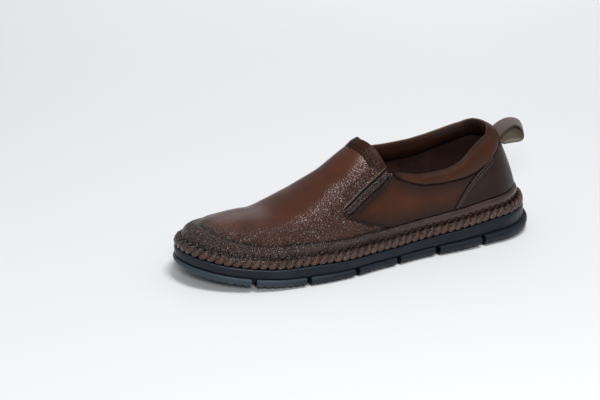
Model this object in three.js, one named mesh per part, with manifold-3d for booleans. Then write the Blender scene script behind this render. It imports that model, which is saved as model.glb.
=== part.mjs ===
// A left slip-on shoe of brown leather on a black rubber unit sole, standing empty on a floor.
// Millimetres: X runs to the toe, Y to the shoe's outer side and Z up. The origin is on the floor,
// under the middle of the heel.
import * as THREE from "three";
import { mergeVertices } from "three/addons/utils/BufferGeometryUtils.js";
import Module from "manifold-3d";

const wasm = await Module();
wasm.setup();

// Driving sizes
const LENGTH = 298; // sole, from its back edge to its toe
const BALL_WIDTH = 107; // sole across the ball of the foot
const SOLE_HEIGHT = 20; // floor to the top of the sole beside the heel's middle
const INSTEP_HEIGHT = 92; // floor to the ridge of the upper at the throat
const HEEL_HEIGHT = 87; // floor to the top of the collar at the back
const TOE_SPRING = 10.7; // floor to the tread's edge at the toe's tip
const HEEL_SET = 40; // sole's back edge to the origin

// Thicknesses, widths and clearances
const GAP = 0.35; // between neighbouring pieces
const WALL = 2.2; // leather and lining of the upper
const WELT = 6.5; // ledge from the upper's wall to the sole's rim
const BULGE = 1.5; // how far the wall swells past its straight section
const INSOLE_THICK = 3;
const BAND_HEIGHT = 14.8;
const BAND_THICK = 1.5;
const PANEL_THICK = 1.0;
const COUNTER_THICK = 1.1;
const GORE_THICK = 0.5;
const FACING_THICK = 1.2;
const FACING_WIDTH = 9.8;
const EDGE_THICK = 1.6;
const EDGE_WIDTH = 5.2;
const BRAID_WIDE = 3.7;
const BRAID_HIGH = 7.0;
const BRAID_PITCH = 6.7; // one lobe of the braid
const BRAID_SLANT = 1.6; // how far a lobe's top leans along the ring
const COLLAR_PAD = 4.2; // padding inside the wall
const COLLAR_SKIN = 2.1; // padding outside the wall
const LOOP_WIDE = 18;
const LOOP_THICK = 1.6;
const LOOP_REACH = 23.7; // how far the pull loop stands behind the heel
const HEEL_FLARE = 3.0; // how far the sole's lower tier passes its rim at the back
const NOTCH_WIDE = 4.0; // gaps in the sole's lower tier, and the grooves across its tread
const NOTCH_DEEP = 6.5;
const FLARE_END = 0.34; // share of LENGTH where the heel's flare has run out
const GROOVE_HIGH = 2.6;
const WAIST_INSET = 19; // from the sole's rim to the hollow under its waist
const WAIST_HIGH = 2.0;

// Parts of the length with a round end, and how square those ends are
const HEEL_FAN = 0.14;
const TOE_FAN = 0.78;
const HEEL_SQUARE = 2.08;
const TOE_SQUARE = 2.05;
// Parts of one side's outline, as walked from the heel's back to the toe's tip, that go to them
const HEEL_PART = 0.16;
const TOE_PART = 0.3;

// Sections along the length. along: share of LENGTH. half, shift and ridge: shares of BALL_WIDTH,
// for half the sole's width, its middle, and the ridge's place beside that middle. seat: share of
// SOLE_HEIGHT. crown: share of INSTEP_HEIGHT. full: how square the section is. lean: share of
// HEEL_HEIGHT, for how far the wall comes in towards its top.
const SECTIONS = [
  { along: 0.0, half: 0.35, shift: -0.004, seat: 1.11, crown: 1.043, ridge: -0.005, full: 6.0, lean: 0.293 },
  { along: 0.14, half: 0.374, shift: -0.001, seat: 1.01, crown: 1.011, ridge: -0.009, full: 6.0, lean: 0.19 },
  { along: 0.26, half: 0.388, shift: 0.014, seat: 0.9, crown: 1.038, ridge: -0.007, full: 5.4, lean: 0.103 },
  { along: 0.38, half: 0.375, shift: 0.029, seat: 0.8, crown: 1.065, ridge: -0.007, full: 3.9, lean: 0.086 },
  { along: 0.5, half: 0.389, shift: 0.053, seat: 0.75, crown: 0.984, ridge: -0.014, full: 2.4, lean: 0.092 },
  { along: 0.6, half: 0.439, shift: 0.044, seat: 0.75, crown: 0.778, ridge: -0.033, full: 2.0, lean: 0.053 },
  { along: 0.7, half: 0.475, shift: 0.011, seat: 0.8, crown: 0.593, ridge: -0.047, full: 2.05, lean: 0.023 },
  { along: 0.78, half: 0.475, shift: -0.011, seat: 0.82, crown: 0.494, ridge: -0.047, full: 2.1, lean: 0.0 },
  { along: 0.9, half: 0.464, shift: -0.042, seat: 0.98, crown: 0.494, ridge: -0.05, full: 2.12, lean: -0.016 },
  { along: 1.0, half: 0.462, shift: -0.059, seat: 1.25, crown: 0.494, ridge: -0.056, full: 2.2, lean: -0.037 },
];

// The tread's edge above the floor. rise: share of TOE_SPRING.
const SPRING = [
  { along: 0.0, rise: 0.28 },
  { along: 0.07, rise: 0.0 },
  { along: 0.72, rise: 0.0 },
  { along: 0.8, rise: 0.15 },
  { along: 0.9, rise: 0.46 },
  { along: 1.0, rise: 1.0 },
];

// The sole's side, from its tread to its rim. out: millimetres past the rim, as shares of WELT.
// up: share of the side's height. flare: share of HEEL_FLARE added towards the back.
const SOLE_SIDE = [
  { out: -0.42, up: 0.0, flare: 0.35 },
  { out: -0.1, up: 0.1, flare: 0.75 },
  { out: 0.12, up: 0.28, flare: 1.0 },
  { out: 0.08, up: 0.44, flare: 0.9 },
  { out: -0.18, up: 0.49, flare: 0.3 },
  { out: -0.06, up: 0.56, flare: 0.25 },
  { out: -0.06, up: 0.86, flare: 0.1 },
  { out: -0.16, up: 1.0, flare: 0.0 },
];

// Collar. low and top: shares of HEEL_HEIGHT, for the seam under the collar and its top edge.
const COLLAR = [
  { along: 0.0, low: 0.862, top: 1.0, lowIn: 0.862, topIn: 1.003 },
  { along: 0.06, low: 0.85, top: 0.995, lowIn: 0.855, topIn: 1.003 },
  { along: 0.107, low: 0.8, top: 0.975, lowIn: 0.815, topIn: 0.987 },
  { along: 0.16, low: 0.715, top: 0.925, lowIn: 0.745, topIn: 0.943 },
  { along: 0.2, low: 0.675, top: 0.868, lowIn: 0.71, topIn: 0.898 },
  { along: 0.25, low: 0.657, top: 0.79, lowIn: 0.7, topIn: 0.856 },
  { along: 0.3, low: 0.655, top: 0.756, lowIn: 0.71, topIn: 0.84 },
  { along: 0.36, low: 0.668, top: 0.752, lowIn: 0.735, topIn: 0.845 },
  { along: 0.41, low: 0.725, top: 0.785, lowIn: 0.79, topIn: 0.862 },
  { along: 0.452, low: 0.796, top: 0.826, lowIn: 0.85, topIn: 0.885 },
];

// The throat's edge from the corner beside the collar to the ridge. rise: share of the way up
// from the collar's height to the ridge, both as places on the section.
const THROAT_CORNER = 0.46;
const THROAT_PEAK = 0.493;
const THROAT = [
  { along: 0.46, rise: 0.0 },
  { along: 0.466, rise: 0.13 },
  { along: 0.474, rise: 0.34 },
  { along: 0.482, rise: 0.6 },
  { along: 0.489, rise: 0.84 },
  { along: 0.493, rise: 1.0 },
];

// Seams on each side of the upper, above the floor. height: share of HEEL_HEIGHT for the counter's
// seam, and of INSTEP_HEIGHT for the seam under the quarter's wing.
const COUNTER_SEAM = [
  { along: 0.12, height: 0.79 },
  { along: 0.158, height: 0.722 },
  { along: 0.211, height: 0.615 },
  { along: 0.244, height: 0.507 },
  { along: 0.267, height: 0.41 },
  { along: 0.282, height: 0.33 },
];
const COUNTER_END = 0.276;
const WING_SEAM = [
  { along: 0.452, height: 0.312 },
  { along: 0.501, height: 0.355 },
  { along: 0.546, height: 0.404 },
  { along: 0.587, height: 0.461 },
  { along: 0.605, height: 0.492 },
];

// The gore's slit. vamp and quarter: places of its two edges on the section, foot 0 to ridge 1.
const GORE = [
  { along: 0.458, vamp: 0.49, quarter: 0.455 },
  { along: 0.485, vamp: 0.47, quarter: 0.432 },
  { along: 0.52, vamp: 0.452, quarter: 0.417 },
  { along: 0.56, vamp: 0.446, quarter: 0.412 },
  { along: 0.585, vamp: 0.438, quarter: 0.408 },
  { along: 0.6, vamp: 0.424, quarter: 0.404 },
];
const GORE_START = 0.468;
const GORE_END = 0.598;
const EDGE_START = 0.462;
const EDGE_END = 0.604;
const EDGE_LEAD = 0.012; // length before the edge strip over which the quarter's top drops to it

// The pull loop from the side. behind: share of LOOP_REACH. height: share of HEEL_HEIGHT.
const LOOP = [
  { behind: -0.13, height: 0.859 },
  { behind: -0.009, height: 0.892 },
  { behind: 0.16, height: 0.926 },
  { behind: 0.371, height: 0.949 },
  { behind: 0.582, height: 0.954 },
  { behind: 0.793, height: 0.933 },
  { behind: 0.95, height: 0.89 },
  { behind: 1.0, height: 0.839 },
  { behind: 0.915, height: 0.802 },
  { behind: 0.709, height: 0.789 },
  { behind: 0.455, height: 0.787 },
  { behind: 0.224, height: 0.786 },
  { behind: 0.042, height: 0.785 },
];
const LOOP_SEAT = 0.82; // height where the loop's reach is measured from the collar, share of HEEL_HEIGHT

// Gaps in the sole's lower tier, as shares of LENGTH
const NOTCHES = [0.193, 0.334, 0.457, 0.59, 0.73, 0.87];

// How finely the pieces are faceted
const HEEL_STEPS = 8;
const QUARTER_STEPS = 10;
const THROAT_STEPS = 5;
const VAMP_STEPS = 8;
const TOE_STEPS = 12;
const UPPER_ROWS = 8;
const COUNTER_ROWS = 4;
const QUARTER_ROWS = 4;

// A smooth curve through a table's column that never passes the rows' own values
function smooth(table, column) {
  const x = table.map((row) => row.along);
  const y = table.map((row) => row[column]);
  const last = x.length - 1;
  const step = x.slice(1).map((value, i) => value - x[i]);
  const rise = y.slice(1).map((value, i) => (value - y[i]) / step[i]);
  const endSlope = (h0, h1, d0, d1) => {
    const slope = ((2 * h0 + h1) * d0 - h0 * d1) / (h0 + h1);
    if (slope * d0 <= 0) return 0;
    return d0 * d1 < 0 && Math.abs(slope) > 3 * Math.abs(d0) ? 3 * d0 : slope;
  };
  const slope = x.map((_, i) => {
    if (i === 0) return endSlope(step[0], step[1], rise[0], rise[1]);
    if (i === last) return endSlope(step[last - 1], step[last - 2], rise[last - 1], rise[last - 2]);
    if (rise[i - 1] * rise[i] <= 0) return 0;
    const before = 2 * step[i] + step[i - 1];
    const after = step[i] + 2 * step[i - 1];
    return (before + after) / (before / rise[i - 1] + after / rise[i]);
  });
  return (at) => {
    const place = Math.min(Math.max(at, x[0]), x[last]);
    let i = 0;
    while (i < last - 1 && place > x[i + 1]) i += 1;
    const h = step[i];
    const t = (place - x[i]) / h;
    const hermite = (2 * t ** 3 - 3 * t ** 2 + 1) * y[i] + (t ** 3 - 2 * t ** 2 + t) * h * slope[i];
    return hermite + (3 * t ** 2 - 2 * t ** 3) * y[i + 1] + (t ** 3 - t ** 2) * h * slope[i + 1];
  };
}

const half = smooth(SECTIONS, "half");
const shift = smooth(SECTIONS, "shift");
const seat = smooth(SECTIONS, "seat");
const crown = smooth(SECTIONS, "crown");
const ridge = smooth(SECTIONS, "ridge");
const full = smooth(SECTIONS, "full");
const lean = smooth(SECTIONS, "lean");
const spring = smooth(SPRING, "rise");
const throat = smooth(THROAT, "rise");
const counterSeam = smooth(COUNTER_SEAM, "height");
const wingSeam = smooth(WING_SEAM, "height");
const goreVamp = smooth(GORE, "vamp");
const goreQuarter = smooth(GORE, "quarter");
const collarOuter = { low: smooth(COLLAR, "low"), top: smooth(COLLAR, "top") };
const collarInner = { low: smooth(COLLAR, "lowIn"), top: smooth(COLLAR, "topIn") };

const between = (a, b, t) => a + (b - a) * t;
const clamp = (value, low, high) => Math.min(Math.max(value, low), high);

// A way round the shoe runs from 0 at the heel's back to 1 at the toe's tip on the outer side,
// and to -1 on the inner side. This gives its share of the length and of the section's width.
function station(way) {
  const walked = Math.abs(way);
  const toeStart = 1 - TOE_PART;
  if (walked < HEEL_PART) {
    const turn = ((1 - walked / HEEL_PART) * Math.PI) / 2;
    return { along: HEEL_FAN * (1 - Math.sin(turn) ** (2 / HEEL_SQUARE)), wide: Math.cos(turn) ** (2 / HEEL_SQUARE) };
  }
  if (walked > toeStart) {
    const turn = (((walked - toeStart) / TOE_PART) * Math.PI) / 2;
    const along = TOE_FAN + (1 - TOE_FAN) * Math.sin(turn) ** (2 / TOE_SQUARE);
    return { along, wide: Math.max(Math.cos(turn), 0) ** (2 / TOE_SQUARE) };
  }
  return { along: between(HEEL_FAN, TOE_FAN, (walked - HEEL_PART) / (toeStart - HEEL_PART)), wide: 1 };
}

// The way round at a share of the length, behind the toe's round end
function wayAt(along) {
  if (along >= HEEL_FAN) {
    return HEEL_PART + ((along - HEEL_FAN) / (TOE_FAN - HEEL_FAN)) * (1 - TOE_PART - HEEL_PART);
  }
  const turn = Math.asin((1 - along / HEEL_FAN) ** (HEEL_SQUARE / 2));
  return HEEL_PART * (1 - turn / (Math.PI / 2));
}

// The sole's rim in plan, moved inwards by a distance
function rimPoint(way, inset) {
  const side = way < 0 ? -1 : 1;
  const raw = (walked) => {
    const { along, wide } = station(walked);
    return [along * LENGTH - HEEL_SET, (shift(along) + side * half(along) * wide) * BALL_WIDTH];
  };
  const walked = Math.abs(way);
  const near = 1e-4;
  const [x, y] = raw(walked);
  const [x0, y0] = raw(Math.max(walked - near, 0));
  const [x1, y1] = raw(Math.min(walked + near, 1));
  const run = Math.hypot(x1 - x0, y1 - y0);
  return [x + (side * inset * (y1 - y0)) / run, y - (side * inset * (x1 - x0)) / run];
}

const seatHeight = (way) => seat(station(way).along) * SOLE_HEIGHT;
const springHeight = (way) => spring(station(way).along) * TOE_SPRING;

// A point of the upper's form: place 0 at its foot to 1 on its ridge, and a distance outwards
function formPoint(way, place, offset) {
  const { along } = station(way);
  const [x, y] = rimPoint(way, WELT - offset);
  const spine = clamp(along, HEEL_FAN, TOE_FAN);
  const spineX = spine * LENGTH - HEEL_SET;
  const spineY = (shift(spine) + ridge(spine)) * BALL_WIDTH;
  const low = seatHeight(way);
  const high = crown(spine) * INSTEP_HEIGHT + offset;
  const turn = (place * Math.PI) / 2;
  const across = 1 - Math.max(Math.cos(turn), 0) ** (2 / full(along));
  const up = Math.sin(turn) ** (2 / full(along));
  const reach = Math.hypot(spineX - x, spineY - y);
  const inward = lean(along) * HEEL_HEIGHT * up ** 1.3 - BULGE * Math.sin(Math.PI * up);
  const share = across + (inward / reach) * (1 - across);
  return [x + (spineX - x) * share, y + (spineY - y) * share, low + (high - low) * up];
}

// The place on the section where the form, moved outwards by an offset, reaches a height
function placeAt(way, height, offset = 0) {
  const { along } = station(way);
  const low = seatHeight(way);
  const high = crown(clamp(along, HEEL_FAN, TOE_FAN)) * INSTEP_HEIGHT + offset;
  const up = clamp((height - low) / (high - low), 0, 1);
  return (Math.asin(up ** (full(along) / 2)) * 2) / Math.PI;
}

const wallPoint = (way, height, offset) => formPoint(way, placeAt(way, height, offset), offset);
const collarHeight = (way, edge) => (way < 0 ? collarInner : collarOuter)[edge](station(way).along) * HEEL_HEIGHT;

// The upper's own top edge: inside the collar it stops short of the collar's top
const WALL_IN_COLLAR = 0.6;
function topPlace(way) {
  const { along } = station(way);
  const low = collarHeight(way, "low");
  const top = collarHeight(way, "top");
  const inCollar = placeAt(way, between(low, top, WALL_IN_COLLAR));
  if (along > THROAT_PEAK - 1e-6) return 1;
  return along <= THROAT_CORNER ? inCollar : between(inCollar, 1, throat(along));
}

// Ways round one side that every piece shares, so that facets of neighbours run side by side
function shareWays() {
  const ways = [];
  const stretch = (from, to, steps) => {
    for (let i = 0; i < steps; i += 1) ways.push(between(from, to, i / steps));
  };
  stretch(0, HEEL_PART, HEEL_STEPS);
  stretch(HEEL_PART, wayAt(THROAT_CORNER), QUARTER_STEPS);
  stretch(wayAt(THROAT_CORNER), wayAt(THROAT_PEAK), THROAT_STEPS);
  stretch(wayAt(THROAT_PEAK), 1 - TOE_PART, VAMP_STEPS);
  stretch(1 - TOE_PART, 1, TOE_STEPS);
  ways.push(1);
  return ways;
}
const SIDE_WAYS = shareWays();
const LAST_WAY = SIDE_WAYS.length - 1;
const RING_WAYS = [...SIDE_WAYS, ...SIDE_WAYS.slice(1, LAST_WAY).reverse().map((way) => -way)];

// A mesh under construction: its points, and triangles that name them
function newSkin() {
  return { points: [], triangles: [] };
}
function addPoints(skin, points) {
  const first = skin.points.length;
  skin.points.push(...points);
  return points.map((_, i) => first + i);
}
function addStrip(skin, one, two, closed) {
  const count = closed ? one.length : one.length - 1;
  for (let i = 0; i < count; i += 1) {
    const j = (i + 1) % one.length;
    skin.triangles.push([one[i], one[j], two[j]], [one[i], two[j], two[i]]);
  }
}
function addFan(skin, ring, outline, flip) {
  const faces = THREE.ShapeUtils.triangulateShape(outline.map(([x, y]) => new THREE.Vector2(x, y)), []);
  faces.forEach(([a, b, c]) => skin.triangles.push(flip ? [ring[a], ring[c], ring[b]] : [ring[a], ring[b], ring[c]]));
}

// Merges a skin's shared points, drops collapsed facets and turns its faces outwards
function toGeometry(skin) {
  let geometry = new THREE.BufferGeometry();
  geometry.setAttribute("position", new THREE.Float32BufferAttribute(skin.points.flat(), 3));
  geometry.setIndex(skin.triangles.flat());
  geometry = mergeVertices(geometry, 2e-3);
  const index = Array.from(geometry.index.array);
  const place = geometry.attributes.position;
  const kept = [];
  let volume = 0;
  const [a, b, c] = [new THREE.Vector3(), new THREE.Vector3(), new THREE.Vector3()];
  for (let i = 0; i < index.length; i += 3) {
    const [i0, i1, i2] = index.slice(i, i + 3);
    if (i0 === i1 || i1 === i2 || i2 === i0) continue;
    kept.push(i0, i1, i2);
    a.fromBufferAttribute(place, i0);
    b.fromBufferAttribute(place, i1);
    c.fromBufferAttribute(place, i2);
    volume += a.dot(b.cross(c));
  }
  geometry.setIndex(volume > 0 ? kept : kept.reverse());
  return geometry;
}

// A closed sheet between two grids of points, columns first. Its rim is closed on all sides
// but where two columns have no edge to close.
function sheet(outer, inner, closed = false, hasTop = () => true) {
  const skin = newSkin();
  const outerRows = outer.map((column) => addPoints(skin, column));
  const innerRows = inner.map((column) => addPoints(skin, column));
  const top = outer[0].length - 1;
  const columns = closed ? outer.length : outer.length - 1;
  for (let i = 0; i < columns; i += 1) {
    const j = (i + 1) % outer.length;
    addStrip(skin, outerRows[i], outerRows[j], false);
    addStrip(skin, innerRows[j], innerRows[i], false);
    addStrip(skin, [outerRows[i][0], outerRows[j][0]], [innerRows[i][0], innerRows[j][0]], false);
    if (hasTop(i, j)) {
      addStrip(skin, [innerRows[i][top], innerRows[j][top]], [outerRows[i][top], outerRows[j][top]], false);
    }
  }
  if (!closed) {
    const end = outer.length - 1;
    addStrip(skin, innerRows[0], outerRows[0], false);
    addStrip(skin, outerRows[end], innerRows[end], false);
  }
  return toGeometry(skin);
}

// A body through sections of equal count, as a ring or with both ends closed by a flat outline
function sweep(sections, outline, closed) {
  const skin = newSkin();
  const rings = sections.map((section) => addPoints(skin, section));
  for (let i = 0; i < rings.length - (closed ? 0 : 1); i += 1) {
    addStrip(skin, rings[i], rings[(i + 1) % rings.length], true);
  }
  if (!closed) {
    const clockwise = THREE.ShapeUtils.area(outline.map(([x, y]) => new THREE.Vector2(x, y))) < 0;
    addFan(skin, rings[0], outline, !clockwise);
    addFan(skin, rings[rings.length - 1], outline, clockwise);
  }
  return toGeometry(skin);
}

// A body through rings round the whole shoe, closed below and above from side to side
function slab(rows) {
  const skin = newSkin();
  const rings = rows.map((row) => addPoints(skin, RING_WAYS.map(row)));
  for (let i = 0; i < rings.length - 1; i += 1) addStrip(skin, rings[i], rings[i + 1], true);
  const across = (ring, flip) => {
    const inner = (i) => ring[i === 0 || i === LAST_WAY ? i : ring.length - i];
    for (let i = 0; i < LAST_WAY; i += 1) {
      const corners = [ring[i], ring[i + 1], inner(i + 1), inner(i)];
      if (flip) corners.reverse();
      skin.triangles.push([corners[0], corners[1], corners[2]], [corners[0], corners[2], corners[3]]);
    }
  };
  across(rings[0], true);
  across(rings[rings.length - 1], false);
  return toGeometry(skin);
}

function toSolid(geometry) {
  const vertProperties = new Float32Array(geometry.attributes.position.array);
  const triVerts = new Uint32Array(geometry.index.array);
  return new wasm.Manifold(new wasm.Mesh({ numProp: 3, vertProperties, triVerts }));
}
function fromSolid(solid) {
  const mesh = solid.getMesh();
  const geometry = new THREE.BufferGeometry();
  geometry.setAttribute("position", new THREE.Float32BufferAttribute(mesh.vertProperties, 3));
  geometry.setIndex(Array.from(mesh.triVerts));
  return geometry;
}

// A box for a cut, turned to run along a direction in plan
function cutter(size, centre, heading) {
  const box = new THREE.BoxGeometry(...size);
  box.rotateZ(heading);
  box.translate(...centre);
  box.deleteAttribute("normal");
  box.deleteAttribute("uv");
  return toSolid(mergeVertices(box));
}

// Sole: a slab whose side has two tiers, cut by gaps at its edge and grooves across its tread
function soleRow({ out, up, flare }) {
  return (way) => {
    const { along } = station(way);
    const back = clamp(1 - along / FLARE_END, 0, 1);
    const [x, y] = rimPoint(way, -out * WELT - flare * HEEL_FLARE * Math.sqrt(back));
    const low = springHeight(way);
    return [x, y, between(low, seatHeight(way) - GAP, up)];
  };
}
function makeOutsole() {
  let solid = toSolid(slab(SOLE_SIDE.map(soleRow)));
  const tierTop = SOLE_SIDE[3].up;
  NOTCHES.forEach((along) => {
    const way = wayOf(along);
    const [, yOuter] = rimPoint(way, 0);
    const [, yInner] = rimPoint(-way, 0);
    const middle = (yOuter + yInner) / 2;
    const low = springHeight(way);
    const reach = yOuter - yInner + WELT;
    const x = along * LENGTH - HEEL_SET;
    const groove = cutter([NOTCH_WIDE, reach, 2 * GROOVE_HIGH], [x, middle, low], 0);
    solid = solid.subtract(groove);
    [way, -way].forEach((edge) => {
      const high = between(low, seatHeight(edge), tierTop) - low;
      const [xAt, yAt] = rimPoint(edge, 0);
      const [xBefore, yBefore] = rimPoint(edge - Math.sign(edge) * 0.01, 0);
      const heading = Math.atan2(yAt - yBefore, xAt - xBefore);
      const size = [NOTCH_WIDE, 2 * NOTCH_DEEP, 2 * high];
      solid = solid.subtract(cutter(size, [xAt, yAt, low], heading));
    });
  });
  return fromSolid(solid.subtract(waistHollow()));
}

// The way round at any share of the length, with the toe's round end
function wayOf(along) {
  if (along <= TOE_FAN) return wayAt(along);
  const turn = Math.asin(((along - TOE_FAN) / (1 - TOE_FAN)) ** (TOE_SQUARE / 2));
  return 1 - TOE_PART + (TOE_PART * turn) / (Math.PI / 2);
}

// The hollow under the waist, between the heel's and the forefoot's treads
function waistHollow() {
  const from = wayAt(NOTCHES[1]);
  const to = wayAt(NOTCHES[2]);
  const steps = 4;
  const sections = [];
  for (let i = 0; i <= steps; i += 1) {
    const way = between(from, to, i / steps);
    const outer = rimPoint(way, WAIST_INSET);
    const inner = rimPoint(-way, WAIST_INSET);
    const corner = (point, z) => [point[0], point[1], z];
    sections.push([
      corner(outer, -WAIST_HIGH),
      corner(outer, WAIST_HIGH),
      corner(inner, WAIST_HIGH),
      corner(inner, -WAIST_HIGH),
    ]);
  }
  const outline = sections[0].map(([, y, z]) => [y, z]);
  return toSolid(sweep(sections, outline, false));
}

function makeInsole() {
  const edge = WELT + WALL + 2 * GAP;
  const ring = (inset, lift) => (way) => [...rimPoint(way, inset), seatHeight(way) + lift];
  const bevel = INSOLE_THICK / 3;
  return slab([ring(edge, 0), ring(edge, INSOLE_THICK - bevel), ring(edge + bevel, INSOLE_THICK)]);
}

// Upper: the vamp and both quarters with their lining, one wall open at the top and underneath.
// Rows up each section are spaced evenly along its curve.
function evenPlaces(way, last, rows) {
  const fine = 60;
  const travelled = [0];
  let before = formPoint(way, 0, 0);
  for (let i = 1; i <= fine; i += 1) {
    const here = formPoint(way, (last * i) / fine, 0);
    travelled.push(travelled[i - 1] + Math.hypot(here[0] - before[0], here[1] - before[1], here[2] - before[2]));
    before = here;
  }
  const places = [];
  for (let row = 0; row <= rows; row += 1) {
    const want = (travelled[fine] * row) / rows;
    let i = 0;
    while (i < fine - 1 && travelled[i + 1] < want) i += 1;
    const part = (want - travelled[i]) / (travelled[i + 1] - travelled[i]);
    places.push((last * (i + clamp(part, 0, 1))) / fine);
  }
  return places;
}
function makeUpper() {
  const places = RING_WAYS.map((way) => evenPlaces(way, topPlace(way), UPPER_ROWS));
  const grid = (offset) => RING_WAYS.map((way, i) => places[i].map((place) => formPoint(way, place, offset)));
  const isOpen = (i) => topPlace(RING_WAYS[i]) < 1 - 1e-6;
  return sheet(grid(0), grid(-WALL), true, (i, j) => isOpen(i) || isOpen(j));
}

// A band round the foot of the upper
function makeBand() {
  const rows = [
    { up: 0, thick: 1 },
    { up: 0.57, thick: 1 },
    { up: 0.92, thick: 0.95 },
    { up: 1, thick: 0.5 },
  ];
  const grid = (offsetOf) =>
    RING_WAYS.map((way) =>
      rows.map((row) => formPoint(way, placeAt(way, seatHeight(way) + row.up * BAND_HEIGHT), offsetOf(row))),
    );
  return sheet(grid((row) => GAP + row.thick * BAND_THICK), grid(() => GAP), true);
}

// Panels over the upper, between two heights along one side or round the heel
function panel(ways, low, high, rows, offsets) {
  const grid = (side) =>
    ways.map((way) => {
      const from = placeAt(way, low(way));
      const to = placeAt(way, high(way));
      const column = [];
      for (let row = 0; row <= rows; row += 1) {
        const edge = row === 0 || row === rows;
        const offset = side === "inner" ? offsets.inner : edge ? offsets.edge : offsets.outer;
        column.push(formPoint(way, between(from, to, row / rows), offset));
      }
      return column;
    });
  return sheet(grid("outer"), grid("inner"));
}
function waysBetween(from, to) {
  const shared = SIDE_WAYS.filter((way) => way > from + 2e-3 && way < to - 2e-3);
  return [from, ...shared, to];
}
const bandTop = (way) => seatHeight(way) + BAND_HEIGHT;
const underCollar = (way) => collarHeight(way, "low") - 2 * GAP - COUNTER_THICK;
const counterHeight = (way) => counterSeam(station(way).along) * HEEL_HEIGHT;
const wingHeight = (way) => wingSeam(station(way).along) * INSTEP_HEIGHT;

const COUNTER_OFFSETS = { inner: GAP, edge: GAP + COUNTER_THICK * 0.6, outer: GAP + COUNTER_THICK };
function makeCounter() {
  const side = waysBetween(0, wayAt(COUNTER_END));
  const ways = [...side.slice(1).reverse().map((way) => -way), ...side];
  const low = (way) => bandTop(way) + GAP;
  const high = (way) => {
    const beforeSeam = station(way).along < COUNTER_SEAM[0].along;
    const top = beforeSeam ? underCollar(way) : Math.min(counterHeight(way), underCollar(way));
    return Math.max(top, low(way) + GAP);
  };
  return panel(ways, low, high, COUNTER_ROWS, COUNTER_OFFSETS);
}

const PANEL_OFFSETS = { inner: GAP, edge: GAP + PANEL_THICK * 0.6, outer: GAP + PANEL_THICK };
const QUARTER_START = 0.2;
const QUARTER_END = 0.596;
const EDGE_DROP = EDGE_WIDTH / (INSTEP_HEIGHT * 0.95); // the edge strip's width as a step of place
const edgePlace = (way) => goreQuarter(station(way).along);
function makeQuarter(side) {
  const ways = waysBetween(wayAt(QUARTER_START), wayAt(QUARTER_END)).map((way) => side * way);
  const low = (way) => {
    const { along } = station(way);
    const seams = [bandTop(way) + GAP];
    if (along < COUNTER_SEAM[COUNTER_SEAM.length - 1].along) seams.push(counterHeight(way) + 2 * GAP);
    if (along > WING_SEAM[0].along) seams.push(wingHeight(way) + GAP);
    return Math.max(...seams);
  };
  const high = (way) => {
    const { along } = station(way);
    const under = underCollar(way);
    const slit = formPoint(way, edgePlace(way) - EDGE_DROP, 0)[2] - GAP;
    const top = along > EDGE_START - EDGE_LEAD ? Math.min(under, slit) : under;
    return Math.max(top, low(way) + GAP);
  };
  return panel(ways, low, high, QUARTER_ROWS, PANEL_OFFSETS);
}

// A strip along the gore's slit, given by its upper and lower places on each section
function strip(side, from, to, upper, lower, profile) {
  const ways = waysBetween(wayAt(from), wayAt(to)).map((way) => side * way);
  const grid = (offsetOf) =>
    ways.map((way) => profile.map((row) => formPoint(way, between(lower(way), upper(way), row.up), offsetOf(row))));
  return sheet(grid((row) => GAP + row.thick), grid(() => GAP));
}
function makeGore(side) {
  const profile = [
    { up: 0.12, thick: GORE_THICK },
    { up: 0.88, thick: GORE_THICK },
  ];
  const upper = (way) => goreVamp(station(way).along);
  return strip(side, GORE_START, GORE_END, upper, edgePlace, profile);
}
function makeQuarterEdge(side) {
  const profile = [
    { up: 0.0, thick: EDGE_THICK * 0.55 },
    { up: 0.3, thick: EDGE_THICK },
    { up: 0.72, thick: EDGE_THICK },
    { up: 0.94, thick: EDGE_THICK * 0.5 },
  ];
  const lower = (way) => edgePlace(way) - EDGE_DROP;
  return strip(side, EDGE_START, EDGE_END, edgePlace, lower, profile);
}

// Throat facing: a folded strip of the vamp along its edge, from corner to corner over the ridge
function makeFacing() {
  const throatWays = SIDE_WAYS.filter((way) => way >= wayAt(THROAT_CORNER) - 1e-9 && way <= wayAt(THROAT_PEAK) + 1e-9);
  const lowest = (way) => Math.max(topPlace(way), goreVamp(station(way).along));
  const edge = throatWays.map((way) => ({ way, place: lowest(way) }));
  const ways = [...edge, ...edge.slice(0, -1).reverse().map(({ way, place }) => ({ way: -way, place }))];
  const steps = 3;
  const grid = (thickAt) =>
    ways.map(({ way, place }) => {
      const column = [];
      for (let i = 0; i <= steps; i += 1) {
        const along = station(way).along + (FACING_WIDTH / LENGTH) * (i / steps);
        column.push(formPoint(Math.sign(way) * wayAt(along), place, thickAt(i)));
      }
      return column;
    });
  const outer = (i) => GAP + FACING_THICK * (i === 0 || i === steps ? 0.75 : 1);
  return sheet(grid(outer), grid(() => GAP));
}

// Collar: a padded roll that straddles the wall's top edge, from one throat corner round the heel
function collarOutline(way) {
  const low = collarHeight(way, "low");
  const top = collarHeight(way, "top");
  const wallTop = between(low, top, WALL_IN_COLLAR) + 2 * GAP;
  const tall = top - low;
  const skin = Math.min(COLLAR_SKIN, 0.7 * tall);
  const pad = Math.min(COLLAR_PAD, 1.2 * tall);
  const inner = -WALL - GAP;
  return [
    [GAP, low],
    [GAP + skin * 0.45, low + tall * 0.04],
    [GAP + skin * 0.95, low + tall * 0.3],
    [GAP + skin, low + tall * 0.58],
    [GAP + skin * 0.5, low + tall * 0.86],
    [between(GAP, inner, 0.45), top],
    [inner - pad * 0.5, low + tall * 0.84],
    [inner - pad, low + tall * 0.5],
    [inner - pad * 0.75, low + tall * 0.08],
    [inner - pad * 0.3, low - tall * 0.1],
    [inner, low - tall * 0.04],
    [inner, wallTop],
    [GAP, wallTop],
  ];
}
const COLLAR_END = 0.446;
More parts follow.
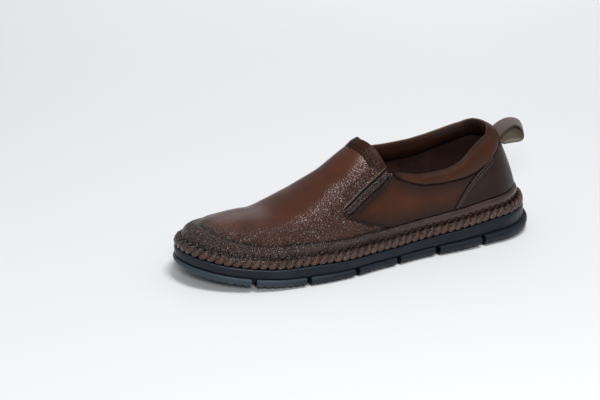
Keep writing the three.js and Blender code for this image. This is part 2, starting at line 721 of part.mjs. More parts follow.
function makeCollar() {
  const side = waysBetween(0, wayAt(COLLAR_END));
  const ways = [...side.slice(1).reverse().map((way) => -way), ...side];
  const sections = ways.map((way) => collarOutline(way).map(([offset, height]) => wallPoint(way, height, offset)));
  return sweep(sections, collarOutline(ways[0]), false);
}

// Braid: a ring of slanting lobes on the sole's ledge, against the band
function makeBraid() {
  const fine = 1440;
  const centre = GAP * 2 + BAND_THICK + BRAID_WIDE / 2;
  const walk = [];
  let length = 0;
  for (let i = 0; i < fine; i += 1) {
    const at = (i / fine) * 2;
    const way = at <= 1 ? at : at - 2;
    const point = rimPoint(way, WELT - centre);
    if (i > 0) length += Math.hypot(point[0] - walk[i - 1].point[0], point[1] - walk[i - 1].point[1]);
    walk.push({ at, point, length });
  }
  const lobes = Math.round(length / BRAID_PITCH);
  const total = length + Math.hypot(walk[0].point[0] - walk[fine - 1].point[0], walk[0].point[1] - walk[fine - 1].point[1]);
  const wayAtLength = (distance) => {
    const want = ((distance % total) + total) % total;
    let low = 0;
    let high = fine - 1;
    while (high - low > 1) {
      const middle = (low + high) >> 1;
      if (walk[middle].length <= want) low = middle;
      else high = middle;
    }
    const span = walk[high].length - walk[low].length;
    const at = between(walk[low].at, walk[high].at, clamp((want - walk[low].length) / span, 0, 1));
    return at <= 1 ? at : at - 2;
  };
  const sides = 5;
  const sections = [];
  for (let i = 0; i < lobes * 2; i += 1) {
    const swell = i % 2 ? 0.74 : 1;
    const section = [];
    for (let k = 0; k < sides; k += 1) {
      const turn = (k / sides) * 2 * Math.PI + Math.PI / 2;
      const out = Math.cos(turn) * (BRAID_WIDE / 2) * swell;
      const up = Math.sin(turn) * (BRAID_HIGH / 2) * swell;
      const way = wayAtLength((i / (lobes * 2)) * total + (up / BRAID_HIGH) * BRAID_SLANT);
      section.push([...rimPoint(way, WELT - centre - out), seatHeight(way) + GAP + BRAID_HIGH / 2 + up]);
    }
    sections.push(section);
  }
  return sweep(sections, [], true);
}

// Pull loop: a ribbon that leaves the collar's back, turns over and comes back to the heel
function makeLoop() {
  const [backX, backY] = wallPoint(0, LOOP_SEAT * HEEL_HEIGHT, GAP + COLLAR_SKIN);
  const route = LOOP.map(({ behind, height }) => {
    return new THREE.Vector3(backX - behind * LOOP_REACH, 0, height * HEEL_HEIGHT);
  });
  const curve = new THREE.CatmullRomCurve3(route);
  const steps = 20;
  const sections = [];
  for (let i = 0; i <= steps; i += 1) {
    const point = curve.getPoint(i / steps);
    const tangent = curve.getTangent(i / steps);
    const normal = new THREE.Vector3(-tangent.z, 0, tangent.x);
    const corner = (side, face) => {
      const at = point.clone().addScaledVector(normal, (face * LOOP_THICK) / 2);
      return [at.x, backY + (side * LOOP_WIDE) / 2, at.z];
    };
    sections.push([corner(-1, -1), corner(1, -1), corner(1, 1), corner(-1, 1)]);
  }
  const outline = [
    [-1, -1],
    [1, -1],
    [1, 1],
    [-1, 1],
  ];
  return sweep(sections, outline, false);
}

// Finishes
const leather = (name, color, roughness) => new THREE.MeshStandardMaterial({ name, color, roughness, metalness: 0 });
const pebbled = () => leather("pebbled_leather", 0x5a3a2a, 0.5);
const smoothHide = () => leather("smooth_leather", 0x6b3f24, 0.42);
const darkHide = () => leather("dark_leather", 0x4a2f25, 0.45);
const cordHide = () => leather("cord_leather", 0x3f2822, 0.5);
const rubber = () => new THREE.MeshStandardMaterial({ name: "black_rubber", color: 0x1b2126, roughness: 0.7, metalness: 0 });
const sock = () => new THREE.MeshStandardMaterial({ name: "insole_cloth", color: 0x2c201d, roughness: 0.85, metalness: 0 });
const elastic = () => new THREE.MeshStandardMaterial({ name: "black_elastic", color: 0x111113, roughness: 0.9, metalness: 0 });
const ribbon = () => new THREE.MeshStandardMaterial({ name: "taupe_ribbon", color: 0x6b5c58, roughness: 0.8, metalness: 0 });

const shoe = new THREE.Group();
shoe.name = "slip_on_shoe";
function addPiece(name, geometry, material) {
  const mesh = new THREE.Mesh(geometry, material);
  mesh.name = name;
  shoe.add(mesh);
}
addPiece("outsole", makeOutsole(), rubber());
addPiece("insole", makeInsole(), sock());
addPiece("upper", makeUpper(), pebbled());
addPiece("foxing_band", makeBand(), pebbled());
addPiece("braid", makeBraid(), cordHide());
addPiece("heel_counter", makeCounter(), darkHide());
addPiece("quarter_lateral", makeQuarter(1), smoothHide());
addPiece("quarter_medial", makeQuarter(-1), smoothHide());
addPiece("gore_lateral", makeGore(1), elastic());
addPiece("gore_medial", makeGore(-1), elastic());
addPiece("quarter_edge_lateral", makeQuarterEdge(1), pebbled());
addPiece("quarter_edge_medial", makeQuarterEdge(-1), pebbled());
addPiece("throat_facing", makeFacing(), pebbled());
addPiece("collar", makeCollar(), smoothHide());
addPiece("pull_loop", makeLoop(), ribbon());

export default shoe;
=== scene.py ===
"""Looks of a left slip-on shoe of brown leather on a black rubber unit sole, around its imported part.

Shapes are worked out in millimetres and become metres when a mesh is made.
X runs to the toe, Y to the shoe's outer side and Z up, from the floor under the heel's middle.
"""

import math

import bpy
import numpy as np
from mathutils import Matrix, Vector


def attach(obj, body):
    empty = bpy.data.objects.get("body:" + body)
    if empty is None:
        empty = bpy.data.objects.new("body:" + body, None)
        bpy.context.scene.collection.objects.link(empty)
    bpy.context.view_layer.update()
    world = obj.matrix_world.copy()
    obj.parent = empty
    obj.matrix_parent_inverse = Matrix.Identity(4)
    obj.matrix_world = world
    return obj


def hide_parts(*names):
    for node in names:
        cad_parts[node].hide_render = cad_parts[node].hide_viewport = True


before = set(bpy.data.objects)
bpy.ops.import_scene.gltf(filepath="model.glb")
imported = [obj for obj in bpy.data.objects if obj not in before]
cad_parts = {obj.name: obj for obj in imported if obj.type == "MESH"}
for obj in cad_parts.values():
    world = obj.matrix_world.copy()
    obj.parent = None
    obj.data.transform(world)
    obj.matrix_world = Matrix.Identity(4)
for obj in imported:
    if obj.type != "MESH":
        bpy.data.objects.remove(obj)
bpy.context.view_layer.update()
MM = 0.001

# Driving sizes, as in the part
LENGTH = 298.0
BALL_WIDTH = 107.0
SOLE_HEIGHT = 20.0
INSTEP_HEIGHT = 92.0
HEEL_HEIGHT = 87.0
TOE_SPRING = 10.7
HEEL_SET = 40.0
GAP = 0.35
WALL = 2.2
WELT = 6.5
BULGE = 1.5
INSOLE_THICK = 3.0
BAND_HEIGHT = 14.8
BAND_THICK = 1.5
PANEL_THICK = 1.0
COUNTER_THICK = 1.1
GORE_THICK = 0.5
FACING_THICK = 1.2
FACING_WIDTH = 9.8
EDGE_THICK = 1.6
EDGE_WIDTH = 5.2
BRAID_WIDE = 3.7
BRAID_HIGH = 7.0
BRAID_PITCH = 6.7
COLLAR_PAD = 4.2
COLLAR_SKIN = 2.1
LOOP_WIDE = 18.0
LOOP_REACH = 23.7
HEEL_FLARE = 3.0
FLARE_END = 0.34
NOTCH_WIDE = 4.0
NOTCH_DEEP = 6.5
GROOVE_HIGH = 2.6
HEEL_FAN = 0.14
TOE_FAN = 0.78
HEEL_SQUARE = 2.08
TOE_SQUARE = 2.05
HEEL_PART = 0.16
TOE_PART = 0.3
WALL_IN_COLLAR = 0.6
COLLAR_END = 0.446
QUARTER_START = 0.2
QUARTER_END = 0.596
COUNTER_END = 0.276
GORE_START = 0.468
GORE_END = 0.598
EDGE_START = 0.462
EDGE_END = 0.604
EDGE_LEAD = 0.012
THROAT_CORNER = 0.46
THROAT_PEAK = 0.493
LOOP_SEAT = 0.82
EDGE_DROP = EDGE_WIDTH / (INSTEP_HEIGHT * 0.95)
NOTCHES = [0.193, 0.334, 0.457, 0.59, 0.73, 0.87]

# Sections along the length: shares of LENGTH, BALL_WIDTH, SOLE_HEIGHT, INSTEP_HEIGHT and HEEL_HEIGHT
SECTION_COLUMNS = ("along", "half", "shift", "seat", "crown", "ridge", "full", "lean")
SECTIONS = [
    (0.0, 0.35, -0.004, 1.11, 1.043, -0.005, 6.0, 0.293),
    (0.14, 0.374, -0.001, 1.01, 1.011, -0.009, 6.0, 0.19),
    (0.26, 0.388, 0.014, 0.9, 1.038, -0.007, 5.4, 0.103),
    (0.38, 0.375, 0.029, 0.8, 1.065, -0.007, 3.9, 0.086),
    (0.5, 0.389, 0.053, 0.75, 0.984, -0.014, 2.4, 0.092),
    (0.6, 0.439, 0.044, 0.75, 0.778, -0.033, 2.0, 0.053),
    (0.7, 0.475, 0.011, 0.8, 0.593, -0.047, 2.05, 0.023),
    (0.78, 0.475, -0.011, 0.82, 0.494, -0.047, 2.1, 0.0),
    (0.9, 0.464, -0.042, 0.98, 0.494, -0.05, 2.12, -0.016),
    (1.0, 0.462, -0.059, 1.25, 0.494, -0.056, 2.2, -0.037),
]
SPRING_COLUMNS = ("along", "rise")
SPRING = [(0.0, 0.28), (0.07, 0.0), (0.72, 0.0), (0.8, 0.15), (0.9, 0.46), (1.0, 1.0)]
COLLAR_COLUMNS = ("along", "low", "top", "low_in", "top_in")
COLLAR = [
    (0.0, 0.862, 1.0, 0.862, 1.003),
    (0.06, 0.85, 0.995, 0.855, 1.003),
    (0.107, 0.8, 0.975, 0.815, 0.987),
    (0.16, 0.715, 0.925, 0.745, 0.943),
    (0.2, 0.675, 0.868, 0.71, 0.898),
    (0.25, 0.657, 0.79, 0.7, 0.856),
    (0.3, 0.655, 0.756, 0.71, 0.84),
    (0.36, 0.668, 0.752, 0.735, 0.845),
    (0.41, 0.725, 0.785, 0.79, 0.862),
    (0.452, 0.796, 0.826, 0.85, 0.885),
]
THROAT_COLUMNS = ("along", "rise")
THROAT = [(0.46, 0.0), (0.466, 0.13), (0.474, 0.34), (0.482, 0.6), (0.489, 0.84), (0.493, 1.0)]
SEAM_COLUMNS = ("along", "height")
COUNTER_SEAM = [(0.12, 0.79), (0.158, 0.722), (0.211, 0.615), (0.244, 0.507), (0.267, 0.41), (0.282, 0.33)]
WING_SEAM = [(0.452, 0.312), (0.501, 0.355), (0.546, 0.404), (0.587, 0.461), (0.605, 0.492)]
GORE_COLUMNS = ("along", "vamp", "quarter")
GORE = [
    (0.458, 0.49, 0.455),
    (0.485, 0.47, 0.432),
    (0.52, 0.452, 0.417),
    (0.56, 0.446, 0.412),
    (0.585, 0.438, 0.408),
    (0.6, 0.424, 0.404),
]
# The pull loop from the side: shares of LOOP_REACH behind the collar and of HEEL_HEIGHT
LOOP = [
    (-0.13, 0.859),
    (-0.009, 0.892),
    (0.16, 0.926),
    (0.371, 0.949),
    (0.582, 0.954),
    (0.793, 0.933),
    (0.95, 0.89),
    (1.0, 0.839),
    (0.915, 0.802),
    (0.709, 0.789),
    (0.455, 0.787),
    (0.224, 0.786),
    (0.042, 0.785),
]


def end_slope(h0, h1, d0, d1):
    slope = ((2 * h0 + h1) * d0 - h0 * d1) / (h0 + h1)
    if slope * d0 <= 0:
        return 0.0
    if d0 * d1 < 0 and abs(slope) > 3 * abs(d0):
        return 3 * d0
    return slope


def smooth(columns, table, column):
    """A smooth curve through a table's column that never passes the rows' own values."""
    x = np.array([row[0] for row in table], float)
    y = np.array([row[columns.index(column)] for row in table], float)
    step = np.diff(x)
    rise = np.diff(y) / step
    slope = np.zeros_like(y)
    for i in range(1, len(x) - 1):
        if rise[i - 1] * rise[i] > 0:
            before = 2 * step[i] + step[i - 1]
            after = step[i] + 2 * step[i - 1]
            slope[i] = (before + after) / (before / rise[i - 1] + after / rise[i])
    slope[0] = end_slope(step[0], step[1], rise[0], rise[1])
    slope[-1] = end_slope(step[-1], step[-2], rise[-1], rise[-2])

    def curve(at):
        place = np.clip(at, x[0], x[-1])
        i = np.clip(np.searchsorted(x, place, side="left") - 1, 0, len(x) - 2)
        h = step[i]
        t = (place - x[i]) / h
        start = (2 * t**3 - 3 * t**2 + 1) * y[i] + (t**3 - 2 * t**2 + t) * h * slope[i]
        return start + (3 * t**2 - 2 * t**3) * y[i + 1] + (t**3 - t**2) * h * slope[i + 1]

    return curve


half, shift, seat, crown, ridge, full, lean = (
    smooth(SECTION_COLUMNS, SECTIONS, name) for name in SECTION_COLUMNS[1:]
)
spring = smooth(SPRING_COLUMNS, SPRING, "rise")
throat = smooth(THROAT_COLUMNS, THROAT, "rise")
counter_seam = smooth(SEAM_COLUMNS, COUNTER_SEAM, "height")
wing_seam = smooth(SEAM_COLUMNS, WING_SEAM, "height")
gore_vamp = smooth(GORE_COLUMNS, GORE, "vamp")
gore_quarter = smooth(GORE_COLUMNS, GORE, "quarter")
collar_low, collar_top, collar_low_in, collar_top_in = (
    smooth(COLLAR_COLUMNS, COLLAR, name) for name in COLLAR_COLUMNS[1:]
)


SIDES = ((1, "lateral"), (-1, "medial"))


def between(a, b, t):
    return a + (b - a) * t


def hill(value, centre, width):
    """A soft hill of height 1."""
    return np.exp(-(((value - centre) / width) ** 2))


def ramp(value, start, end):
    """0 before start, 1 after end, eased between."""
    t = np.clip((value - start) / (end - start), 0, 1)
    return t * t * (3 - 2 * t)


def station(way):
    """The share of the length and of the section's width at a way round: 0 heel to 1 or -1 toe."""
    walked = np.abs(way)
    toe_start = 1 - TOE_PART
    heel_turn = (1 - np.clip(walked / HEEL_PART, 0, 1)) * math.pi / 2
    toe_turn = np.clip((walked - toe_start) / TOE_PART, 0, 1) * math.pi / 2
    middle = between(HEEL_FAN, TOE_FAN, (walked - HEEL_PART) / (toe_start - HEEL_PART))
    along = np.where(walked < HEEL_PART, HEEL_FAN * (1 - np.sin(heel_turn) ** (2 / HEEL_SQUARE)), middle)
    tip = TOE_FAN + (1 - TOE_FAN) * np.sin(toe_turn) ** (2 / TOE_SQUARE)
    along = np.where(walked > toe_start, tip, along)
    wide = np.cos(heel_turn) ** (2 / HEEL_SQUARE) * np.maximum(np.cos(toe_turn), 0) ** (2 / TOE_SQUARE)
    return along, wide


def way_of(along):
    """The way round at a share of the length."""
    if along < HEEL_FAN:
        turn = math.asin((1 - along / HEEL_FAN) ** (HEEL_SQUARE / 2))
        return HEEL_PART * (1 - turn / (math.pi / 2))
    if along > TOE_FAN:
        turn = math.asin(((along - TOE_FAN) / (1 - TOE_FAN)) ** (TOE_SQUARE / 2))
        return 1 - TOE_PART + TOE_PART * turn / (math.pi / 2)
    return HEEL_PART + (along - HEEL_FAN) / (TOE_FAN - HEEL_FAN) * (1 - TOE_PART - HEEL_PART)


def rim_raw(walked, side):
    along, wide = station(walked)
    return along * LENGTH - HEEL_SET, (shift(along) + side * half(along) * wide) * BALL_WIDTH


def rim_point(way, inset):
    """The sole's rim in plan, moved inwards by a distance."""
    near = 1e-4
    side = np.where(np.asarray(way) < 0, -1.0, 1.0)
    walked = np.abs(way)
    x, y = rim_raw(walked, side)
    x0, y0 = rim_raw(np.maximum(walked - near, 0), side)
    x1, y1 = rim_raw(np.minimum(walked + near, 1), side)
    run = np.hypot(x1 - x0, y1 - y0)
    return x + side * inset * (y1 - y0) / run, y - side * inset * (x1 - x0) / run


def seat_height(way):
    return seat(station(way)[0]) * SOLE_HEIGHT


def form_point(way, place, offset):
    """A point of the upper's form: place 0 at its foot to 1 on its ridge, and a distance outwards."""
    along, _ = station(way)
    x, y = rim_point(way, WELT - offset)
    spine = np.clip(along, HEEL_FAN, TOE_FAN)
    spine_x = spine * LENGTH - HEEL_SET
    spine_y = (shift(spine) + ridge(spine)) * BALL_WIDTH
    low = seat(along) * SOLE_HEIGHT
    high = crown(spine) * INSTEP_HEIGHT + offset
    turn = place * math.pi / 2
    power = 2 / full(along)
    across = 1 - np.maximum(np.cos(turn), 0) ** power
    up = np.sin(turn) ** power
    reach = np.hypot(spine_x - x, spine_y - y)
    inward = lean(along) * HEEL_HEIGHT * up**1.3 - BULGE * np.sin(math.pi * up)
    share = across + inward / reach * (1 - across)
    height = low + (high - low) * up
    return np.stack(np.broadcast_arrays(x + (spine_x - x) * share, y + (spine_y - y) * share, height), -1)


def place_at(way, height, offset=0.0):
    """The place on the section where the form reaches a height."""
    along, _ = station(way)
    low = seat(along) * SOLE_HEIGHT
    high = crown(np.clip(along, HEEL_FAN, TOE_FAN)) * INSTEP_HEIGHT + offset
    up = np.clip((height - low) / (high - low), 0, 1)
    return np.arcsin(up ** (full(along) / 2)) * 2 / math.pi


def wall_point(way, height, offset):
    return form_point(way, place_at(way, height, offset), offset)


def form_normal(way, place, offset):
    """The form's direction outwards at points of it."""
    step = 2e-4
    lower = np.clip(place - step, 0, 1)
    upper = np.clip(place + step, 0, 1)
    run = form_point(way + step, place, offset) - form_point(way - step, place, offset)
    rise = form_point(way, upper, offset) - form_point(way, lower, offset)
    out = np.cross(rise, run)
    return out / np.linalg.norm(out, axis=-1, keepdims=True)


def collar_heights(way):
    along, _ = station(way)
    inner = np.asarray(way) < 0
    low = np.where(inner, collar_low_in(along), collar_low(along)) * HEEL_HEIGHT
    top = np.where(inner, collar_top_in(along), collar_top(along)) * HEEL_HEIGHT
    return low, top


def top_place(way):
    """The upper's own top edge as a place: inside the collar it stops short of the collar's top."""
    along, _ = station(way)
    low, top = collar_heights(way)
    in_collar = place_at(way, between(low, top, WALL_IN_COLLAR))
    rising = between(in_collar, 1.0, throat(along))
    place = np.where(along <= THROAT_CORNER, in_collar, rising)
    return np.where(along > THROAT_PEAK - 1e-6, 1.0, place)


def band_top(way):
    return seat_height(way) + BAND_HEIGHT


def under_collar(way):
    return collar_heights(way)[0] - 2 * GAP - COUNTER_THICK


# Meshes
# Points closer than this, in millimetres, become one
MERGE = 1e-4


class Skin:
    """A mesh under construction: points in millimetres, faces of four corners and values at points."""

    def __init__(self):
        self.points = []
        self.faces = []
        self.finishes = []
        self.values = {}
        self.count = 0

    def add(self, points, faces, finish=0, **values):
        points = points.reshape(-1, 3)
        self.points.append(points)
        self.faces.append(np.asarray(faces) + self.count)
        self.finishes.append(np.full(len(faces), finish))
        for name in set(self.values) | set(values):
            known = self.values.setdefault(name, [np.zeros(self.count)] if self.count else [])
            value = values.get(name, 0.0)
            known.append(np.broadcast_to(np.asarray(value, float).ravel(), (len(points),)))
        self.count += len(points)


def tube_faces(sections, ring, closed, capped):
    """Faces of a body through sections, each a closed ring of points."""
    last = sections if closed else sections - 1
    i, j = np.meshgrid(np.arange(last), np.arange(ring), indexing="ij")
    ahead = (i + 1) % sections
    beside = (j + 1) % ring
    corners = [i * ring + j, ahead * ring + j, ahead * ring + beside, i * ring + beside]
    faces = [np.stack(corners, -1).reshape(-1, 4)]
    if capped:
        k = np.arange(ring // 2 - 1)
        cap = np.stack([k, k + 1, ring - 2 - k, ring - 1 - k], -1)
        faces.append(cap)
        faces.append(cap[:, ::-1] + (sections - 1) * ring)
    return np.concatenate(faces)


def wrapped_faces(count, rows):
    """Faces of a grid whose last column meets its first."""
    i, j = np.meshgrid(np.arange(count), np.arange(rows - 1), indexing="ij")
    ahead = (i + 1) % count
    corners = [i * rows + j, ahead * rows + j, ahead * rows + j + 1, i * rows + j + 1]
    return np.stack(corners, -1).reshape(-1, 4)


def grid_faces(count, rows):
    """Faces of a grid with four borders."""
    i, j = np.meshgrid(np.arange(count - 1), np.arange(rows - 1), indexing="ij")
    corners = [i * rows + j, i * rows + j + 1, (i + 1) * rows + j + 1, (i + 1) * rows + j]
    return np.stack(corners, -1).reshape(-1, 4)


def make_piece(name, skin, materials, replaced=(), sharp=48.0):
    """Turns a skin into a mesh object that rides on the shoe's one body."""
    points = np.concatenate(skin.points)
    faces = np.concatenate(skin.faces)
    finishes = np.concatenate(skin.finishes)
    merged = np.round(points / MERGE).astype(np.int64)
    _, first, inverse = np.unique(merged, axis=0, return_index=True, return_inverse=True)
    faces = inverse.ravel()[faces]
    points = points[first]
    corners = []
    kinds = []
    for face, finish in zip(faces.tolist(), finishes.tolist()):
        kept = [c for k, c in enumerate(face) if c != face[k - 1]]
        if len(kept) > 2 and len(set(kept)) == len(kept):
            corners.append(kept)
            kinds.append(finish)
    triangles = np.array([[c[0], c[k], c[k + 1]] for c in corners for k in range(1, len(c) - 1)])
    a, b, c = points[triangles].transpose(1, 0, 2)
    if np.einsum("ij,ij->i", a, np.cross(b, c)).sum() < 0:
        corners = [c[::-1] for c in corners]
    mesh = bpy.data.meshes.new(name)
    mesh.from_pydata((points * MM).tolist(), [], corners)
    mesh.polygons.foreach_set("material_index", kinds)
    for value_name, parts in skin.values.items():
        value = np.concatenate(parts)[first].astype(np.float32)
        mesh.attributes.new(value_name, "FLOAT", "POINT").data.foreach_set("value", value)
    for material in materials:
        mesh.materials.append(material)
    mesh.shade_smooth()
    mesh.set_sharp_from_angle(angle=math.radians(sharp))
    mesh.update()
    piece = bpy.data.objects.new(name, mesh)
    bpy.context.scene.collection.objects.link(piece)
    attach(piece, "root")
    if replaced:
        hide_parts(*replaced)
    return piece


def crowded(count, crowd=0.8):
    """Shares from 0 to 1 that lie closer together near both ends."""
    t = np.linspace(0, 1, count)
    return t - crowd * np.sin(2 * math.pi * t) / (2 * math.pi)


def lengths_along(points, axis):
    """Distance walked from the first point, along one axis of a grid."""
    steps = np.linalg.norm(np.diff(points, axis=axis), axis=-1)
    first = np.zeros_like(np.take(steps, [0], axis=axis))
    return np.cumsum(np.concatenate([first, steps], axis=axis), axis=axis)


def edge_distance(points, ends=True):
    """Distance of each point of a grid to the nearest border."""
    rise = lengths_along(points, 1)
    nearest = np.minimum(rise, rise[:, -1:] - rise)
    if ends:
        run = lengths_along(points, 0)
        nearest = np.minimum(nearest, np.minimum(run, run[-1:] - run))
    return nearest


def rounded(distance, radius):
    """Height of a rounded border, 0 at the edge and 1 past its radius."""
    inside = np.clip(distance / radius, 0, 1)
    return np.sqrt(np.maximum(1 - (1 - inside) ** 2, 0))


def add_sheet(skin, outer, inner, closed=False, finish=0, **values):
    """A closed sheet between two grids of points, columns first."""
    ring = np.concatenate([outer, inner[:, ::-1]], axis=1)
    doubled = {name: np.concatenate([v, v[:, ::-1]], axis=1) for name, v in values.items()}
    skin.add(ring, tube_faces(ring.shape[0], ring.shape[1], closed, not closed), finish, **doubled)


def side_ways(start, end, step=0.0032):
    """Ways between two shares of the length, with both ends."""
    count = max(int((way_of(end) - way_of(start)) / step), 8)
    return np.linspace(way_of(start), way_of(end), count + 1)


def add_panel(skin, ways, low, high, rows, thick, roll=0.9, relief=None, base=GAP, crowd=0.8, grain=None):
    """A panel on the form between two places of each section, with rounded borders."""
    column = ways[:, None]
    place = between(low[:, None], high[:, None], crowded(rows, crowd)[None, :])
    middle = form_point(column, place, base + thick)
    far = edge_distance(middle)
    height = thick * between(0.3, 1.0, rounded(far, roll))
    if relief is not None:
        height = height + relief(column, place, middle, far)
    outer = form_point(column, place, base + height)
    inner = form_point(column, place, base)
    edge = np.clip(far / 20.0, 0, 1)
    rough = np.zeros(place.shape) if grain is None else grain(column, place) + 0 * place
    shade = 0.7 * (1 - ramp(far, 0.0, 1.1))
    add_sheet(skin, outer, inner, edge=edge, grain=rough, shade=shade)


# Repeatable small unevenness, in millimetres
def waver(points, size, seed=0.0):
    """A smooth unevenness between -1 and 1 with features of about that size."""
    p = points / size * 2 * math.pi
    x, y, z = p[..., 0] + seed, p[..., 1] + 1.7 * seed, p[..., 2] - seed
    total = np.sin(x + 1.3 * np.sin(0.7 * y + seed)) + np.sin(1.21 * y + 1.1 * np.sin(0.9 * z))
    return (total + np.sin(0.83 * z + 1.4 * np.sin(0.8 * x))) / 3


# Shaders
def rgb(code):
    """A hex colour as linear values."""
    parts = [int(code[i : i + 2], 16) / 255 for i in (0, 2, 4)]
    linear = [c / 12.92 if c <= 0.04045 else ((c + 0.055) / 1.055) ** 2.4 for c in parts]
    return (*linear, 1.0)


class Shader:
    """Nodes of one material, made by short calls."""

    def __init__(self, name, roughness, coat=0.0, coat_roughness=0.3, sheen=0.0, specular=0.5):
        self.material = bpy.data.materials.new(name)
        self.material.use_nodes = True
        self.tree = self.material.node_tree
        self.surface = self.tree.nodes["Principled BSDF"]
        self.surface.inputs["Roughness"].default_value = roughness
        self.surface.inputs["Coat Weight"].default_value = coat
        self.surface.inputs["Coat Roughness"].default_value = coat_roughness
        self.surface.inputs["Sheen Weight"].default_value = sheen
        self.surface.inputs["Specular IOR Level"].default_value = specular
        self.place = self.node("ShaderNodeTexCoord").outputs["Object"]

    def node(self, kind, settings=None, inputs=None):
        made = self.tree.nodes.new(kind)
        for key, value in (settings or {}).items():
            setattr(made, key, value)
        for key, value in (inputs or {}).items():
            self.plug(made.inputs[key], value)
        return made

    def plug(self, socket, value):
        if isinstance(value, bpy.types.NodeSocket):
            self.tree.links.new(value, socket)
        else:
            socket.default_value = value

    def maths(self, operation, a, b=0.0, clamp=False):
        settings = {"operation": operation, "use_clamp": clamp}
        return self.node("ShaderNodeMath", settings, {0: a, 1: b}).outputs[0]

    def vector_maths(self, operation, inputs):
        return self.node("ShaderNodeVectorMath", {"operation": operation}, inputs).outputs[0]

    def value(self, name):
        return self.node("ShaderNodeAttribute", {"attribute_name": name}).outputs["Fac"]

    def noise(self, size_mm, detail=2.0, vector=None):
        inputs = {"Vector": vector or self.place, "Scale": 1000.0 / size_mm, "Detail": detail}
        return self.node("ShaderNodeTexNoise", None, inputs).outputs["Fac"]

    def cells(self, size_mm, vector=None, randomness=1.0):
        """Distance to the nearest edge between cells of about that size."""
        inputs = {"Vector": vector or self.place, "Scale": 1000.0 / size_mm, "Randomness": randomness}
        return self.node("ShaderNodeTexVoronoi", {"feature": "DISTANCE_TO_EDGE"}, inputs).outputs["Distance"]

    def wobbled(self, size_mm, amount_mm):
        """The place, pushed about a little, so that cells aren't regular."""
        inputs = {"Vector": self.place, "Scale": 1000.0 / size_mm, "Detail": 1.0}
        push = self.node("ShaderNodeTexNoise", None, inputs).outputs["Color"]
        scaled = self.vector_maths("SCALE", {0: push, "Scale": amount_mm * MM})
        return self.vector_maths("ADD", {0: self.place, 1: scaled})

    def span(self, value, low, high, to_low=0.0, to_high=1.0):
        settings = {"interpolation_type": "SMOOTHSTEP"}
        inputs = {"Value": value, "From Min": low, "From Max": high, "To Min": to_low, "To Max": to_high}
        return self.node("ShaderNodeMapRange", settings, inputs).outputs["Result"]

    def mix(self, factor, one, two):
        made = self.node("ShaderNodeMix", {"data_type": "RGBA"})
        self.plug(made.inputs["Factor"], factor)
        for name, value in (("A", one), ("B", two)):
            self.plug([s for s in made.inputs if s.name == name and s.type == "RGBA"][0], value)
        return [s for s in made.outputs if s.type == "RGBA"][0]

    def bump(self, height, depth_mm, strength=1.0, under=None):
        inputs = {"Height": height, "Distance": depth_mm * MM, "Strength": strength}
        if under is not None:
            inputs["Normal"] = under
        return self.node("ShaderNodeBump", None, inputs).outputs["Normal"]

    def finish(self, color, normal=None, roughness=None):
        self.plug(self.surface.inputs["Base Color"], color)
        if normal is not None:
            self.plug(self.surface.inputs["Normal"], normal)
            self.plug(self.surface.inputs["Coat Normal"], normal)
        if roughness is not None:
            self.plug(self.surface.inputs["Roughness"], roughness)
        return self.material


GRAIN_SIZE = 2.1
GRAIN_DEPTH = 0.42
DOME_STEEP = 2.3
# Colour of the painted highlight along lit edges, laid on where the value rim is high
EDGE_HIGHLIGHT = "7d6657"
FINE_SHARE = 0.4
FINE_HIGH = 0.08


def pebbles(s):
    """Round domes, 0 in a crease and 1 on top, and the same with finer cells added as a height."""
    place = s.wobbled(5.0, 1.6)
    near = s.maths("MULTIPLY", s.cells(GRAIN_SIZE, place), DOME_STEEP, clamp=True)
    left = s.maths("SUBTRACT", 1.0, near)
    domes = s.maths("SUBTRACT", 1.0, s.maths("MULTIPLY", left, left))
    fine = s.span(s.cells(GRAIN_SIZE * FINE_SHARE, place), 0.0, 0.3)
    return domes, s.maths("ADD", domes, s.maths("MULTIPLY", fine, FINE_HIGH))


def pebbled_hide(name, base, deep, worn, rough_low=0.4, rough_high=0.55, coat=0.6):
    """Tumbled leather: domed pebbles with painted shade in the creases between them, smoother where the
    value grain is low.
    """
    s = Shader(name, 0.42, coat=coat, coat_roughness=0.25, specular=0.05)
    domes, height = pebbles(s)
    grain = s.value("grain")
    body = s.mix(s.span(s.noise(26.0), 0.35, 0.68), rgb(base), rgb(worn))
    # Painted shade: the creases between the domes take the deep colour
    crease = s.maths("MULTIPLY", s.maths("SUBTRACT", 1.0, domes), s.span(grain, 0.0, 1.0, 0.05, 0.75))
    color = s.mix(crease, body, rgb(deep))
    # The value rim paints a highlight along lit edges
    color = s.mix(s.value("rim"), color, rgb(EDGE_HIGHLIGHT))
    dark = s.mix(s.value("shade"), color, rgb(deep))
    normal = s.bump(s.maths("MULTIPLY", height, grain), GRAIN_DEPTH)
    rough = s.span(s.noise(9.0), 0.3, 0.7, rough_low, rough_high)
    return s.finish(dark, normal, rough)


